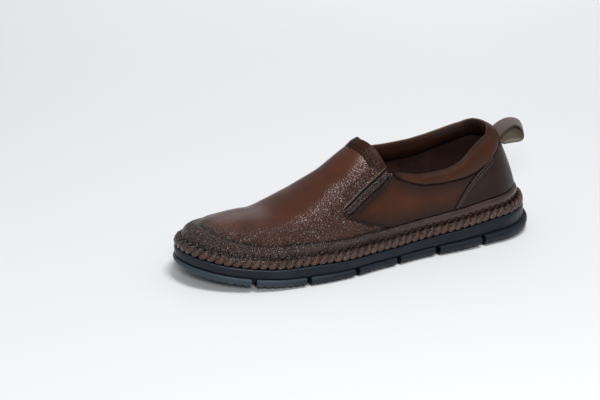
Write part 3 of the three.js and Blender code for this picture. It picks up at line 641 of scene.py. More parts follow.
def smooth_hide(name, middle, border, deep, roughness=0.42, coat=0.22, rim="7a5c4a"):
    """Burnished leather: warm in the middle of a panel and darker towards its borders; on the collar the
    same value also paints a highlight along the middle of the roll and shade on its inner face.
    """
    s = Shader(name, roughness, coat=coat, coat_roughness=0.34, specular=0.1)
    edge = s.span(s.value("edge"), 0.0, 0.75)
    mottle = s.maths("MULTIPLY", s.noise(18.0, 3.0), 0.6)
    body = s.mix(edge, rgb(border), rgb(middle))
    body = s.mix(s.span(mottle, 0.2, 0.42, 0.0, 0.35), body, rgb(border))
    pores = s.span(s.cells(0.55), 0.0, 0.12)
    color = s.mix(s.maths("MULTIPLY", s.maths("SUBTRACT", 1.0, pores), 0.35), body, rgb(deep))
    domes, height = pebbles(s)
    grain = s.value("grain")
    # Painted shade in the creases between the domes, where there is grain
    color = s.mix(s.maths("MULTIPLY", s.maths("SUBTRACT", 1.0, domes), grain), color, rgb(deep))
    # The value rim paints a highlight along a lit rim in the colour rim
    color = s.mix(s.value("rim"), color, rgb(rim))
    color = s.mix(s.value("shade"), color, rgb(deep))
    normal = s.bump(s.noise(1.1, 3.0), 0.05)
    normal = s.bump(pores, 0.03, under=normal)
    normal = s.bump(s.maths("MULTIPLY", height, grain), GRAIN_DEPTH, under=normal)
    rough = s.span(s.noise(7.0), 0.3, 0.7, roughness - 0.05, roughness + 0.1)
    return s.finish(color, normal, rough)


def moulded_rubber():
    s = Shader("moulded_rubber", 0.5, specular=0.3)
    dust = s.span(s.noise(14.0, 4.0), 0.45, 0.75)
    color = s.mix(dust, rgb("08121b"), rgb("0e1a25"))
    # Painted highlights: the lit lower tier towards the toe and the lit lips turn light grey-blue
    color = s.mix(s.value("dust"), color, rgb("34414b"))
    color = s.mix(s.value("shade"), color, rgb("020406"))
    normal = s.bump(s.noise(0.6, 2.0), 0.03)
    rough = s.span(s.noise(11.0), 0.3, 0.7, 0.4, 0.58)
    return s.finish(color, normal, rough)


def brushed_lining():
    s = Shader("brushed_lining", 0.85, sheen=0.1, specular=0.2)
    color = s.mix(s.span(s.noise(12.0, 3.0), 0.35, 0.7), rgb("321b13"), rgb("40251d"))
    normal = s.bump(s.noise(0.5, 3.0), 0.08)
    return s.finish(color, normal)


ELASTIC_RIB = 0.9
RIBBON_RIB = 1.1
RIBBON_WEFT = 0.8


def ribbed_elastic():
    s = Shader("ribbed_elastic", 0.85, sheen=0.05, specular=0.15)
    rib = s.maths("SINE", s.maths("MULTIPLY", s.value("rib"), 2 * math.pi / ELASTIC_RIB))
    color = s.mix(s.span(rib, -1.0, 1.0), rgb("050506"), rgb("131416"))
    return s.finish(color, s.bump(rib, 0.12))


def woven_ribbon(name, light, dark):
    """Ribbed tape: threads across the ribbon, with fine weft along it and dark selvedges."""
    s = Shader(name, 0.72, sheen=0.25)
    rib = s.maths("SINE", s.maths("MULTIPLY", s.value("walk"), 2 * math.pi / RIBBON_RIB))
    weft = s.maths("SINE", s.maths("MULTIPLY", s.value("across"), 2 * math.pi / RIBBON_WEFT))
    weave = s.maths("ADD", rib, s.maths("MULTIPLY", weft, 0.5))
    color = s.mix(s.span(weave, -1.2, 1.2, 0.2, 1.0), rgb(dark), rgb(light))
    # The inner face takes a lighter tan: partly the ribbon's own other side, partly painted light against
    # the shade inside the loop
    color = s.mix(s.value("inside"), color, s.mix(s.span(weave, -1.2, 1.2), rgb("6f5f50"), rgb("9c8a76")))
    color = s.mix(s.value("shade"), color, rgb("1a1412"))
    return s.finish(color, s.bump(weave, 0.1))


def waxed_cord():
    s = Shader("waxed_cord", 0.4, coat=1.0, coat_roughness=0.22, specular=0.1)
    pebble = s.span(s.cells(0.9, s.wobbled(3.0, 0.8)), 0.0, 0.3)
    body = s.mix(s.span(s.noise(8.0), 0.35, 0.7), rgb("3c2013"), rgb("482717"))
    color = s.mix(s.value("shade"), body, rgb("070302"))
    return s.finish(color, s.bump(pebble, 0.16))


def thread(name, code):
    s = Shader(name, 0.75, specular=0.15)
    return s.finish(rgb(code), s.bump(s.noise(0.3), 0.04))


def floor_paper():
    s = Shader("floor_paper", 0.75, specular=0.2)
    color = s.mix(s.span(s.noise(700.0, 1.0), 0.3, 0.7), rgb("f9f9fa"), rgb("fcfcfd"))
    return s.finish(color)


# Upper: the wall with its lining, pebbled outside
def even_places(ways, last, rows):
    """Places up each section, evenly spaced along its curve."""
    fine = 160
    share = np.linspace(0, 1, fine + 1)
    place = last[:, None] * share[None, :]
    walked = lengths_along(form_point(ways[:, None], place, 0.0), 1)
    made = np.empty((len(ways), rows))
    for i in range(len(ways)):
        made[i] = np.interp(np.linspace(0, walked[i, -1], rows), walked[i], place[i])
    return made


def ring_ways(step=0.0046):
    """Ways right round the shoe, close together where the throat's edge climbs."""
    stretches = [
        np.linspace(0, way_of(THROAT_CORNER), int(way_of(THROAT_CORNER) / step)),
        np.linspace(way_of(THROAT_CORNER), way_of(THROAT_PEAK), 34),
        np.linspace(way_of(THROAT_PEAK), 1, int((1 - way_of(THROAT_PEAK)) / step)),
    ]
    side = np.unique(np.concatenate(stretches))
    return np.concatenate([side, -side[1:-1][::-1]])


# Roll over the band and trough above it: height or depth, place above the band and width, in millimetres
TOE_ROLL = (0.6, 3.4, 2.2)
TOE_TROUGH = (0.2, 8.5, 3.0)
# Creases across the vamp: share of the length, slant and depth in millimetres
FLEX_CREASES = ((0.655, 0.035, 0.2), (0.705, 0.03, 0.14), (0.745, 0.02, 0.1))
# Creases that run on from the slit's end: share of the length, rise and depth in millimetres
SLIT_CREASES = ((0.028, 0.035, 0.5), (0.034, -0.01, 0.4), (0.024, -0.05, 0.45))


def vamp_creases(way, along, place):
    """Soft troughs and ridges of the vamp and toe, in millimetres outwards."""
    above = form_point(way, place, 0.0)[..., 2] - band_top(way)
    front = ramp(along, 0.52, 0.66)
    roll, trough = (deep * hill(above, at, wide) for deep, at, wide in (TOE_ROLL, TOE_TROUGH))
    relief = front * (roll - trough)
    for at, tilt, deep in FLEX_CREASES:
        bend = at + tilt * (place - 0.5)
        reach = ramp(place, 0.18, 0.42) * (1 - 0.6 * ramp(place, 0.75, 1.0))
        relief -= deep * hill(along, bend, 0.014) * reach
        relief += 0.6 * deep * hill(along, bend + 0.03, 0.016) * ramp(place, 0.2, 0.45)
    for reach, rise, deep in SLIT_CREASES:
        run = np.clip((along - GORE_END) / reach, 0, 1)
        line = gore_vamp(GORE_END) + rise * run
        near = hill(place, line, 0.014) * ramp(along, GORE_END - 0.006, GORE_END + 0.004)
        relief -= deep * near * (1 - ramp(along, GORE_END + 0.5 * reach, GORE_END + reach))
    relief += np.where(way > 0, 0.12, 0.1) * np.sin(along * 71 + place * 9) * ramp(place, 0.25, 0.5)
    # All sections of the toe meet at its crown, so the relief fades out there
    return relief * (1 - ramp(along, 0.66, 0.76) * ramp(place, 0.4, 0.8))


GRAIN_LOW = 1.1
GRAIN_LOST = 0.98


def make_upper():
    ways = ring_ways()
    column = ways[:, None]
    rows = 58
    place = even_places(ways, top_place(ways), rows)
    along = np.broadcast_to(station(column)[0], place.shape)
    visible = ramp(along, 0.5, 0.6)
    relief = vamp_creases(column, along, place) * visible
    outer = form_point(column, place, relief)
    inner = form_point(column, place, -WALL)
    count = len(ways)
    ring = np.concatenate([outer, inner[:, ::-1]], axis=1)
    faces = tube_faces(count, 2 * rows, True, False)
    strip = faces.reshape(count, 2 * rows, 4)
    open_top = np.asarray(top_place(ways) < 1 - 1e-6)
    keep = np.ones((count, 2 * rows), bool)
    keep[:, rows - 1] = open_top | np.roll(open_top, -1)
    lining = np.zeros((count, 2 * rows), bool)
    lining[:, rows:] = True
    flank = GRAIN_LOW - GRAIN_LOST * ramp(place, 0.36, 0.78)
    grain = np.clip(flank + 0.12 * waver(outer, 60.0, 1.0), 0.05, 1.2)
    above = outer[..., 2] - band_top(column)
    shade = 0.95 * (1 - ramp(above, 0.3, 1.8)) + 0.2 * hill(above, 8.5, 1.6) * ramp(along, 0.55, 0.7)
    values = {
        "grain": np.concatenate([grain, 0 * grain], axis=1),
        "shade": np.concatenate([shade, 0 * shade], axis=1),
    }
    skin = Skin()
    skin.add(ring, strip[keep & ~lining], 0, **values)
    skin.faces.append(strip[keep & lining])
    skin.finishes.append(np.ones(int((keep & lining).sum()), int))
    return make_piece("upper_shell", skin, [VAMP, LINING], ["upper"])


# Folded, stitched edge of the vamp along the gore's slit
SLIT_COVER = 0.2
FOLD_WIDE = 0.16
FOLD_THICK = 1.25
FOLD_ROWS = (3.2, 5.0)
ROW_DEEP = 0.22


def make_gore_folds():
    skin = Skin()
    for side, _ in SIDES:
        ways = side * side_ways(EDGE_START + 0.001, GORE_END + 0.001, 0.0022)
        along = station(ways)[0]
        low = between(gore_vamp(along), gore_quarter(along), SLIT_COVER)
        ends = ramp(along, EDGE_START, EDGE_START + 0.003)
        ends = ends * (1 - ramp(along, GORE_END - 0.012, GORE_END + 0.001))
        share = np.linspace(0, 1, 30) ** 1.4
        place = low[:, None] + FOLD_WIDE * share[None, :] * (1.0 - 0.25 * ramp(along, 0.55, 0.6)[:, None])
        place = np.minimum(place, top_place(ways)[:, None] - 0.002 * (1 - share[None, :]))
        column = ways[:, None]
        middle = form_point(column, place, 1.0)
        far = lengths_along(middle, 1)
        channel = ROW_DEEP * sum(hill(far, row, 0.45) for row in FOLD_ROWS)
        height = FOLD_THICK * rounded(far, 1.1) * (1 - ramp(far, 5.5, 13.0))
        height = height - 0.25 * ramp(far, 8.0, 13.5) - channel
        height = height * ends[:, None] - 0.3 * (1 - ends[:, None])
        outer = form_point(column, place, height)
        inner = form_point(column, place, np.minimum(height - 0.3, -0.4))
        grain = np.clip(0.95 - 0.5 * hill(far, 0.0, 1.2), 0.1, 1.0) + 0 * place
        shade = 0.5 * hill(far, 0.0, 1.0) + 0.35 * sum(hill(far, row, 0.5) for row in FOLD_ROWS)
        # Painted highlight along the lit crest of the fold
        rim = 0.8 * hill(far, 0.5, 0.55)
        add_sheet(skin, outer, inner, grain=grain, shade=np.clip(shade - rim, 0, 1), rim=rim)
    return make_piece("gore_folds", skin, [VAMP])


def make_gores():
    for side, name in SIDES:
        skin = Skin()
        ways = side * side_ways(GORE_START - 0.004, GORE_END)
        along = station(ways)[0]
        share = np.linspace(0.02, 0.98, 12)[None, :]
        place = between(gore_quarter(along)[:, None], gore_vamp(along)[:, None], share)
        column = ways[:, None]
        middle = form_point(column, place, GAP)
        rib = lengths_along(middle, 1)
        outer = form_point(column, place, GAP + GORE_THICK * 0.6)
        inner = form_point(column, place, 0.05)
        add_sheet(skin, outer, inner, rib=rib)
        make_piece("elastic_gore_" + name, skin, [ELASTIC], ["gore_" + name])


ROLL_SHARE = 0.68
ROLL_HIGH = 1.75
PUCKER = 2.7
PUCKER_DEEP = 0.22
LIP_HIGH = 0.55


def make_quarter_edges():
    """The quarter's front edge: a flat lip beside the slit and a puckered roll under it."""
    for side, name in SIDES:
        skin = Skin()
        ways = side * side_ways(EDGE_START, EDGE_END, 0.0014)
        along = station(ways)[0]
        top = gore_quarter(along)
        low = top - EDGE_DROP * between(1.0, 0.55, ramp(along, 0.585, EDGE_END))
        top = between(top, gore_vamp(along), SLIT_COVER)
        column = ways[:, None]
        share = crowded(28, 0.4)[None, :]
        place = between(low[:, None], top[:, None], share)
        middle = form_point(column, place, EDGE_THICK)
        run = lengths_along(middle, 0)
        far = edge_distance(middle)
        bead = np.clip(np.sin(math.pi * np.clip((share + 0.04) / ROLL_SHARE, 0, 1)), 0, 1)
        pucker = PUCKER_DEEP * np.sin(run * 2 * math.pi / PUCKER + 1.3 * np.sin(run * 0.9)) * bead
        border = rounded(np.maximum(1 - share, 0) * 6, 0.8)
        lip = LIP_HIGH * ramp(share, ROLL_SHARE - 0.04, ROLL_SHARE + 0.06) * border
        height = GAP + 0.1 + (ROLL_HIGH * bead**0.7 + pucker + lip) * rounded(far, 1.0)
        outer = form_point(column, place, height)
        inner = form_point(column, place, 0.05)
        grain = np.clip(0.3 + 0.6 * bead, 0, 1) + 0 * place
        shade = 0.9 * hill(share, ROLL_SHARE, 0.05) + 0.5 * (pucker < -0.15) * bead
        add_sheet(skin, outer, inner, grain=grain, shade=np.clip(shade, 0, 1) + 0 * place)
        make_piece("edge_roll_" + name, skin, [ROLL], ["quarter_edge_" + name])


def quarter_low(ways):
    along = station(ways)[0]
    low = band_top(ways) + GAP
    seam = counter_seam(along) * HEEL_HEIGHT + 2 * GAP
    low = np.where(along < COUNTER_SEAM[-1][0], np.maximum(low, seam), low)
    wing = wing_seam(along) * INSTEP_HEIGHT + GAP
    return np.where(along > WING_SEAM[0][0], np.maximum(low, wing), low)


HOLLOW_DEEP = 0.5
RIDGE_HIGH = 0.22
TROUGH_DEEP = 0.25
STRIP_HIGH = 0.35
STRIP_WIDE = 4.4
DENT_DEEP = 0.18


def quarter_relief(way, place, middle, far):
    """A soft hollow under the collar, a faint fold behind the gore and a ridge beside the counter."""
    along = station(way)[0]
    leaning = along + 0.12 * place
    hollow = -HOLLOW_DEEP * hill(along, 0.37, 0.07) * hill(place, 0.36, 0.12)
    fold = RIDGE_HIGH * hill(leaning, 0.5, 0.012) - TROUGH_DEEP * hill(leaning, 0.475, 0.012)
    near_counter = TROUGH_DEEP * hill(along, 0.29 - 0.1 * (place - 0.3), 0.012)
    return (hollow + fold + near_counter) * ramp(far, 0.5, 5.0)


def make_quarters():
    for side, name in SIDES:
        skin = Skin()
        ways = side * side_ways(QUARTER_START, QUARTER_END, 0.0036)
        along = station(ways)[0]
        low = quarter_low(ways)
        slit = form_point(ways, gore_quarter(along) - EDGE_DROP, 0.0)[:, 2] - GAP
        under = under_collar(ways) + 2 * GAP
        leading = ramp(along, EDGE_START - 2 * EDGE_LEAD, EDGE_START - EDGE_LEAD)
        high = np.where(leading > 0, between(under, np.minimum(under, slit), leading), under)
        high = np.maximum(high, low + GAP)
        places = place_at(ways, low), place_at(ways, high)
        add_panel(skin, ways, *places, 44, PANEL_THICK, 0.9, quarter_relief, grain=quarter_grain)
        make_piece("quarter_panel_" + name, skin, [QUARTER], ["quarter_" + name])


def below_slit(way, place):
    """Distance below the quarter's rolled edge, in millimetres."""
    along = station(way)[0]
    reach = (gore_quarter(along) - EDGE_DROP - place) * INSTEP_HEIGHT
    return reach + 60 * np.clip(EDGE_START - 0.01 - along, 0, 1)


def quarter_grain(way, place):
    return 0.8 * (1 - ramp(below_slit(way, place), 3.0, 5.2))


def counter_high(ways):
    along = station(ways)[0]
    under = under_collar(ways) + 2 * GAP
    seam = counter_seam(along) * HEEL_HEIGHT
    return np.where(along < COUNTER_SEAM[0][0], under, np.minimum(seam, under))


def make_counter():
    side = side_ways(0.0, COUNTER_END, 0.0036)
    ways = np.concatenate([-side[1:][::-1], side])
    low = band_top(ways) + GAP
    high = np.maximum(counter_high(ways), low + GAP)
    skin = Skin()
    add_panel(skin, ways, place_at(ways, low), place_at(ways, high), 40, COUNTER_THICK, 0.9, counter_relief)
    return make_piece("counter_panel", skin, [COUNTER], ["heel_counter"])


def counter_relief(way, place, middle, far):
    """A raised strip along the counter's top seam, and soft dents of the stiffened heel."""
    strip = STRIP_HIGH * (1 - ramp(far, STRIP_WIDE, STRIP_WIDE + 0.6)) * ramp(place, 0.3, 0.36)
    dent = DENT_DEEP * waver(middle, 46.0, 2.0) * ramp(far, 4.0, 12.0)
    return strip + dent


# Throat facing, folded over the edge of the vamp
FACING_REACH = FACING_WIDTH + 0.6
FACING_ROWS = (FACING_WIDTH - 1.9, FACING_WIDTH - 0.1)
HEM_ROW = 10


def make_facing():
    throat_ways = np.linspace(way_of(THROAT_CORNER), way_of(THROAT_PEAK), 46)
    along = station(throat_ways)[0]
    lowest = np.maximum(top_place(throat_ways), gore_vamp(along))
    ways = np.concatenate([throat_ways, -throat_ways[:-1][::-1]])
    edge = np.concatenate([lowest, lowest[:-1][::-1]])
    sign = np.where(ways < 0, -1.0, 1.0)
    share = crowded(34, 0.6)
    ahead = station(ways)[0][:, None] + FACING_REACH / LENGTH * share[None, :]
    slope = (1 - TOE_PART - HEEL_PART) / (TOE_FAN - HEEL_FAN)
    column = sign[:, None] * (HEEL_PART + (ahead - HEEL_FAN) * slope)
    place = np.broadcast_to(edge[:, None], column.shape)
    far = share[None, :] * FACING_REACH
    seam = sum(hill(far, row, 0.35) for row in FACING_ROWS)
    fading = between(1.0, 0.12, ramp(far, 5.5, FACING_REACH))
    height = FACING_THICK * between(0.35, 1.0, rounded(far, 1.3)) * fading
    height = GAP + height - 0.3 * seam
    outer = form_point(column, place, height)
    inner = form_point(column, place, 0.05)
    wrap = 6
    turn = np.linspace(0, 1, wrap + 1)[1:-1]
    first, first_place = column[:, :1], place[:, :1]
    hem, hem_place = column[:, HEM_ROW : HEM_ROW + 1], place[:, HEM_ROW : HEM_ROW + 1]
    back = form_point(first, first_place, -WALL - 0.5)
    behind = sign[:, None] * (np.abs(first) - 0.004)
    away = form_point(behind, first_place, -0.5) - form_point(first, first_place, -0.5)
    away = away / np.linalg.norm(away, axis=-1, keepdims=True)
    fold = [between(back, outer[:, :1], t) + away * (math.sin(math.pi * t) * 1.3) for t in turn]
    lined = form_point(hem, hem_place, -WALL - 0.5)
    inside = form_point(hem, hem_place, -WALL - 0.1)
    hidden = form_point(first, first_place, -WALL + 0.1) - away * 0.1
    folded_under = [hidden * (1 - t) + inner[:, :1] * t for t in turn]
    outer_row = np.concatenate([lined, back] + fold + [outer], axis=1)
    inner_row = np.concatenate([inside, hidden] + folded_under + [inner], axis=1)
    rows = outer_row.shape[1]
    row_shade = np.concatenate([np.zeros(wrap + 1), 0.5 * seam[0]])
    row_grain = np.concatenate([np.full(wrap + 1, 0.3), 0.2 + 0.25 * ramp(far[0], 1.0, 5.0)])
    # Painted highlight along the lit folded edge of the facing
    row_highlight = 0.7 * hill(np.arange(rows), wrap + 2.0, 2.2)
    shade, grain, rim = (np.tile(row, (len(ways), 1)) for row in (row_shade, row_grain, row_highlight))
    skin = Skin()
    add_sheet(skin, outer_row, inner_row, shade=shade, grain=grain, rim=rim)
    return make_piece("facing_strip", skin, [FACING], ["throat_facing"])


# Foxing band, puffed out, with a hole for each strand of the braid
BAND_PUFF = 0.75
BAND_BUTT = 0.6
HOLE_HEIGHT = 8.4
HOLE_DEEP = 1.1


def make_band():
    ways = ring_ways(0.0016)
    column = ways[:, None]
    share = crowded(30, 0.45)[None, :]
    height = seat_height(column) + share * BAND_HEIGHT
    place = place_at(column, height)
    far = share * BAND_HEIGHT
    from_top = BAND_HEIGHT - far
    along = station(column)[0]
    front = ramp(along, 0.3, 0.6)
    thick = BAND_THICK * between(0.1, 1.0, rounded(from_top, 2.4))
    thick = thick + BAND_PUFF * hill(from_top, 3.6, 2.6)
    at, walked, total, strands = braid_round()
    run = np.interp(np.where(ways >= 0, ways, ways + 2), at, walked)[:, None]
    phase = np.mod(run / total * strands - 0.5 + STRAND_RUN / BRAID_PITCH, 1.0)
    beside = np.minimum(phase, 1 - phase) * BRAID_PITCH
    hole = hill(beside, 0.0, 0.75) * hill(far, HOLE_HEIGHT, 1.0)
    gather = 0.12 * np.sin(run * 2 * math.pi / 2.1) * hill(from_top, 1.8, 1.6)
    butt = np.where(column < 0, hill(along, BAND_BUTT, 0.0011), 0.0)
    thick = thick + gather - 0.5 * butt - HOLE_DEEP * hole - 0.25 * hill(far, HOLE_HEIGHT - 1.2, 1.0)
    outer = form_point(column, place, GAP + np.maximum(thick, 0.12))
    inner = form_point(column, place, 0.1)
    grain = between(0.3, 1.1, front) + 0.35 * (1 - front) * hill(from_top, 1.5, 1.5) + 0 * place
    shade = 0.9 * butt + hole + 0.75 * (1 - ramp(far, 6.6, 8.4)) + 0.5 * (1 - ramp(from_top, 0.0, 0.9))
    skin = Skin()
    add_sheet(skin, outer, inner, closed=True, grain=grain, shade=np.clip(shade, 0, 1) + 0 * place)
    return make_piece("foxing_strip", skin, [BAND], ["foxing_band"])


# Braid: one leaning strand of cord after another, out of a hole in the band and down to the sole's ledge
STRAND_WIDE = 2.45
STRAND_DEEP = 1.75
STRAND_RUN = 4.3
STRAND_TOP = 2.9
STRAND_FOOT = -2.9
STRAND_LEAN = 0.5
STRAND_PUFF = 0.9
STRAND_TUCK = 2.9
STRAND_KICK = 0.5
CORE_WIDE = 1.7
CORE_HIGH = 2.9
BRAID_CENTRE = 2 * GAP + BAND_THICK + BRAID_WIDE / 2


def ring_walk(inset, fine=4000):
    """Distance round the sole's ledge, and the way at each distance."""
    at = np.linspace(0, 2, fine + 1)
    way = np.where(at <= 1, at, at - 2)
    x, y = rim_point(way, inset)
    walked = np.concatenate([[0], np.cumsum(np.hypot(np.diff(x), np.diff(y)))])
    return at, walked


def braid_round():
    """The braid's line round the shoe, its length and its number of strands."""
    at, walked = ring_walk(WELT - BRAID_CENTRE)
    return at, walked, walked[-1], round(walked[-1] / BRAID_PITCH)


def make_braid():
    at, walked, total, strands = braid_round()
    steps = np.linspace(0, 1, 19)
    turns = np.linspace(0, 2 * math.pi, 12, endpoint=False)
    lean_up = math.sqrt(1 - STRAND_LEAN**2)
    path_run = between(-STRAND_RUN, STRAND_RUN, steps)
    path_up = between(STRAND_TOP, STRAND_FOOT, ramp(steps, -0.15, 1.1) * 1.02)
    path_out = STRAND_PUFF * np.sin(math.pi * steps) - STRAND_TUCK * (1 - steps) ** 4
    path_out = path_out + STRAND_KICK * steps**3
    girth = between(0.5, 1.0, np.sin(math.pi * np.clip(0.06 + 0.9 * steps, 0, 1)) ** 0.55)
    side_run = STRAND_WIDE * np.cos(turns) * STRAND_LEAN
    side_up = STRAND_WIDE * np.cos(turns) * lean_up
    skin = Skin()
    for strand in range(strands):
        size = girth * (1 + 0.05 * math.sin(strand * 2.3))
        run = (strand + 0.5) / strands * total + path_run[:, None] + size[:, None] * side_run[None, :]
        up = path_up[:, None] + size[:, None] * side_up[None, :]
        up = np.maximum(up, -BRAID_HIGH / 2 + 0.02)
        out = path_out[:, None] + size[:, None] * STRAND_DEEP * np.sin(turns)[None, :]
        out = out + 0.12 * math.sin(strand * 1.7 + 1)
        place = np.interp(np.mod(run, total), walked, at)
        way = np.where(place <= 1, place, place - 2)
        x, y = rim_point(way, WELT - BRAID_CENTRE - out)
        points = np.stack([x, y, seat_height(way) + GAP + BRAID_HIGH / 2 + up], -1)
        ends = 0.9 * (1 - ramp(steps, 0.04, 0.2)) + 0.5 * ramp(steps, 0.9, 1.0)
        under = 0.7 * ramp(-np.cos(turns), 0.5, 1.0)
        shade = np.clip(ends[:, None] + under[None, :], 0, 1)
        skin.add(points, tube_faces(len(steps), len(turns), False, True), 0, shade=shade)
    # A dark core ring behind the strands: painted shade that fills the gaps between them
    ways = ring_ways(0.01)
    column = ways[:, None]
    x, y = rim_point(column, WELT - BRAID_CENTRE + 0.6 - CORE_WIDE * np.sin(turns)[None, :])
    height = seat_height(column) + GAP + BRAID_HIGH / 2 + CORE_HIGH * np.cos(turns)[None, :]
    core = np.stack([x, y, height], -1)
    skin.add(core, tube_faces(len(ways), len(turns), True, False), 0, shade=0.75)
    return make_piece("cord_braid", skin, [CORD], ["braid"], sharp=70)


# Collar: a padded roll, its lining side pulled down to a seam inside
COLLAR_DEPTH_IN = 14.2
COLLAR_SEAM_IN = 7.0
CORNER_CUTS = 2
RIM_ROW = 7


def chaikin(points, times):
    """Rounds a closed outline by cutting its corners."""
    for _ in range(times):
        ahead = np.roll(points, -1, axis=1)
        pair = np.stack([between(points, ahead, 0.25), between(points, ahead, 0.75)], axis=2)
        points = pair.reshape(points.shape[0], -1, 2)
    return points


def row_after_cuts(row):
    """Where a row of the collar's outline stands after its corners are cut."""
    return row * 2**CORNER_CUTS


def inner_seam_height(low, top):
    """Height of the seam where the collar's inner face meets the lining."""
    return np.maximum(top - COLLAR_DEPTH_IN, low - COLLAR_SEAM_IN)


def collar_outline(way):
    """Sections of the collar as offset from the form and height: outer roll, thin rim, flat inner face."""
    low, top = collar_heights(way)
    tall = top - low
    wall_top = between(low, top, WALL_IN_COLLAR) + 2 * GAP
    skin = np.minimum(COLLAR_SKIN, 0.7 * tall)
    pad = np.minimum(COLLAR_PAD, 1.2 * tall)
    inner = -WALL - GAP
    seam_in = inner_seam_height(low, top)
    drop = top - seam_in
    same = 0 * low
    rows = [
        (GAP + same, low),
        (GAP + skin * 0.6, low + tall * 0.01),
        (GAP + skin * 1.0, low + tall * 0.2),
        (GAP + skin * 1.05, low + tall * 0.5),
        (GAP + skin * 0.75, low + tall * 0.78),
        (GAP - 0.15 + same, top - tall * 0.04),
        (GAP - 0.75 + same, top + 0.5),
        (GAP - 1.5 + same, top + 0.5),
        (GAP - 2.1 + same, top - 0.5),
        (inner - pad * 0.15, top - drop * 0.2),
        (inner - pad * 0.5, top - drop * 0.45),
        (inner - pad * 0.62, top - drop * 0.72),
        (inner - pad * 0.5, top - drop * 0.95),
        (inner - pad * 0.15, seam_in - 0.2),
        (inner + same, seam_in + 0.4),
        (inner + same, wall_top - 0.6),
        (GAP + same, wall_top - 0.6),
        (GAP + same, between(low, wall_top, 0.4)),
    ]
    return np.stack([np.stack([a, b], -1) for a, b in rows], axis=1)


def collar_grid(ways):
    """Points of the collar with the share of the way in past its rim."""
    outline = chaikin(collar_outline(ways), CORNER_CUTS)
    offset = outline[..., 0]
    height = outline[..., 1]
    along = station(ways)[0][:, None]
    inside = ramp(-offset, 1.6, 3.2)
    gather = np.sin(ways[:, None] * 260 + 1.2 * np.sin(ways[:, None] * 90)) * (1 - ramp(along, 0.05, 0.2))
    bow = 1 - 0.6 * np.cos(np.abs(ways[:, None]) * 500)
    offset = offset + 0.3 * inside * gather * bow
    return wall_point(ways[:, None], height, offset), inside, gather


def make_collar():
    side = side_ways(0.0, COLLAR_END, 0.0024)
    ways = np.concatenate([-side[1:][::-1], side])
    points, inside, gather = collar_grid(ways)
    low, top = collar_heights(ways)
    share = (points[..., 2] - low[:, None]) / (top - low)[:, None]
    # Lighter along the middle of the collar's height and darker at its top, foot and inner face: a painted
    # highlight along the roll and painted shade inside
    edge = np.clip(0.2 + 0.8 * np.sin(math.pi * np.clip(share, 0, 1)), 0, 1) * (1 - 0.8 * inside)
    rows = np.arange(points.shape[1])[None, :]
    # Painted highlight: a lighter line along the lit crest of the rim
    rim = 0.75 * hill(rows, row_after_cuts(RIM_ROW) - 1.0, 2.2) + 0 * share
    fold = 0.6 * inside * (1 - ramp(gather, -0.9, 0.0))
    foot = 0.45 * (1 - ramp(share, 0.0, 0.08)) * (1 - inside)
    skin = Skin()
    faces = tube_faces(points.shape[0], points.shape[1], False, True)
    tip = 0.9 * ramp(station(ways)[0], COLLAR_END - 0.03, COLLAR_END)[:, None]
    shade = np.clip(fold + foot + tip + 0.05 * inside, 0, 1)
    skin.add(points, faces, 0, edge=edge, shade=shade, rim=rim * (1 - tip), grain=0.0)
    collar = make_piece("collar_roll", skin, [COLLAR_HIDE], ["collar"], sharp=60)
    return collar


# Painted shadow: a black tube along the gap where the collar's inner face bulges over the lining
SHADOW_LINE_THICK = 0.7


def make_inner_shadow_line():
    """A black tube that paints the shadow line where the collar's inner face meets the lining."""
    side = side_ways(0.0, COLLAR_END, 0.005)
    ways = np.concatenate([-side[1:][::-1], side])
    low, top = collar_heights(ways)
    seam = inner_seam_height(low, top) - SHADOW_LINE_THICK
    turns = np.linspace(0, 2 * math.pi, 8, endpoint=False)[None, :]
    height = seam[:, None] + SHADOW_LINE_THICK * np.cos(turns)
    points = wall_point(ways[:, None], height, -WALL - 0.6 - 0.6 * np.sin(turns))
    skin = Skin()
    skin.add(points, tube_faces(len(ways), turns.shape[1], False, True))
    return make_piece("inner_shadow_line", skin, [SHADOW_LINE])


# Pull loop
def catmull(points, count):
    """Points on a curve through the route, evenly spaced."""
    p = np.array(points, float)
    ends = np.concatenate([[2 * p[0] - p[1]], p, [2 * p[-1] - p[-2]]])
    fine = []
    for i in range(len(p) - 1):
        a, b, c, d = ends[i : i + 4]
        for t in np.linspace(0, 1, 24, endpoint=False):
            bent = (2 * a - 5 * b + 4 * c - d) * t**2 + (3 * b - a - 3 * c + d) * t**3
            fine.append(0.5 * (2 * b + (c - a) * t + bent))
    fine = np.array(fine + [p[-1]])
    walked = np.concatenate([[0], np.cumsum(np.linalg.norm(np.diff(fine, axis=0), axis=1))])
    even = np.linspace(0, walked[-1], count)
    return np.stack([np.interp(even, walked, fine[:, k]) for k in range(fine.shape[1])], -1), even


RIBBON_THICK = 1.25
RIBBON_CUP = 0.35
SELVEDGE = 0.35
LOOP_TILT = 7.5
LOOP_SKEW = 4.5
LOOP_DROP = 1.2


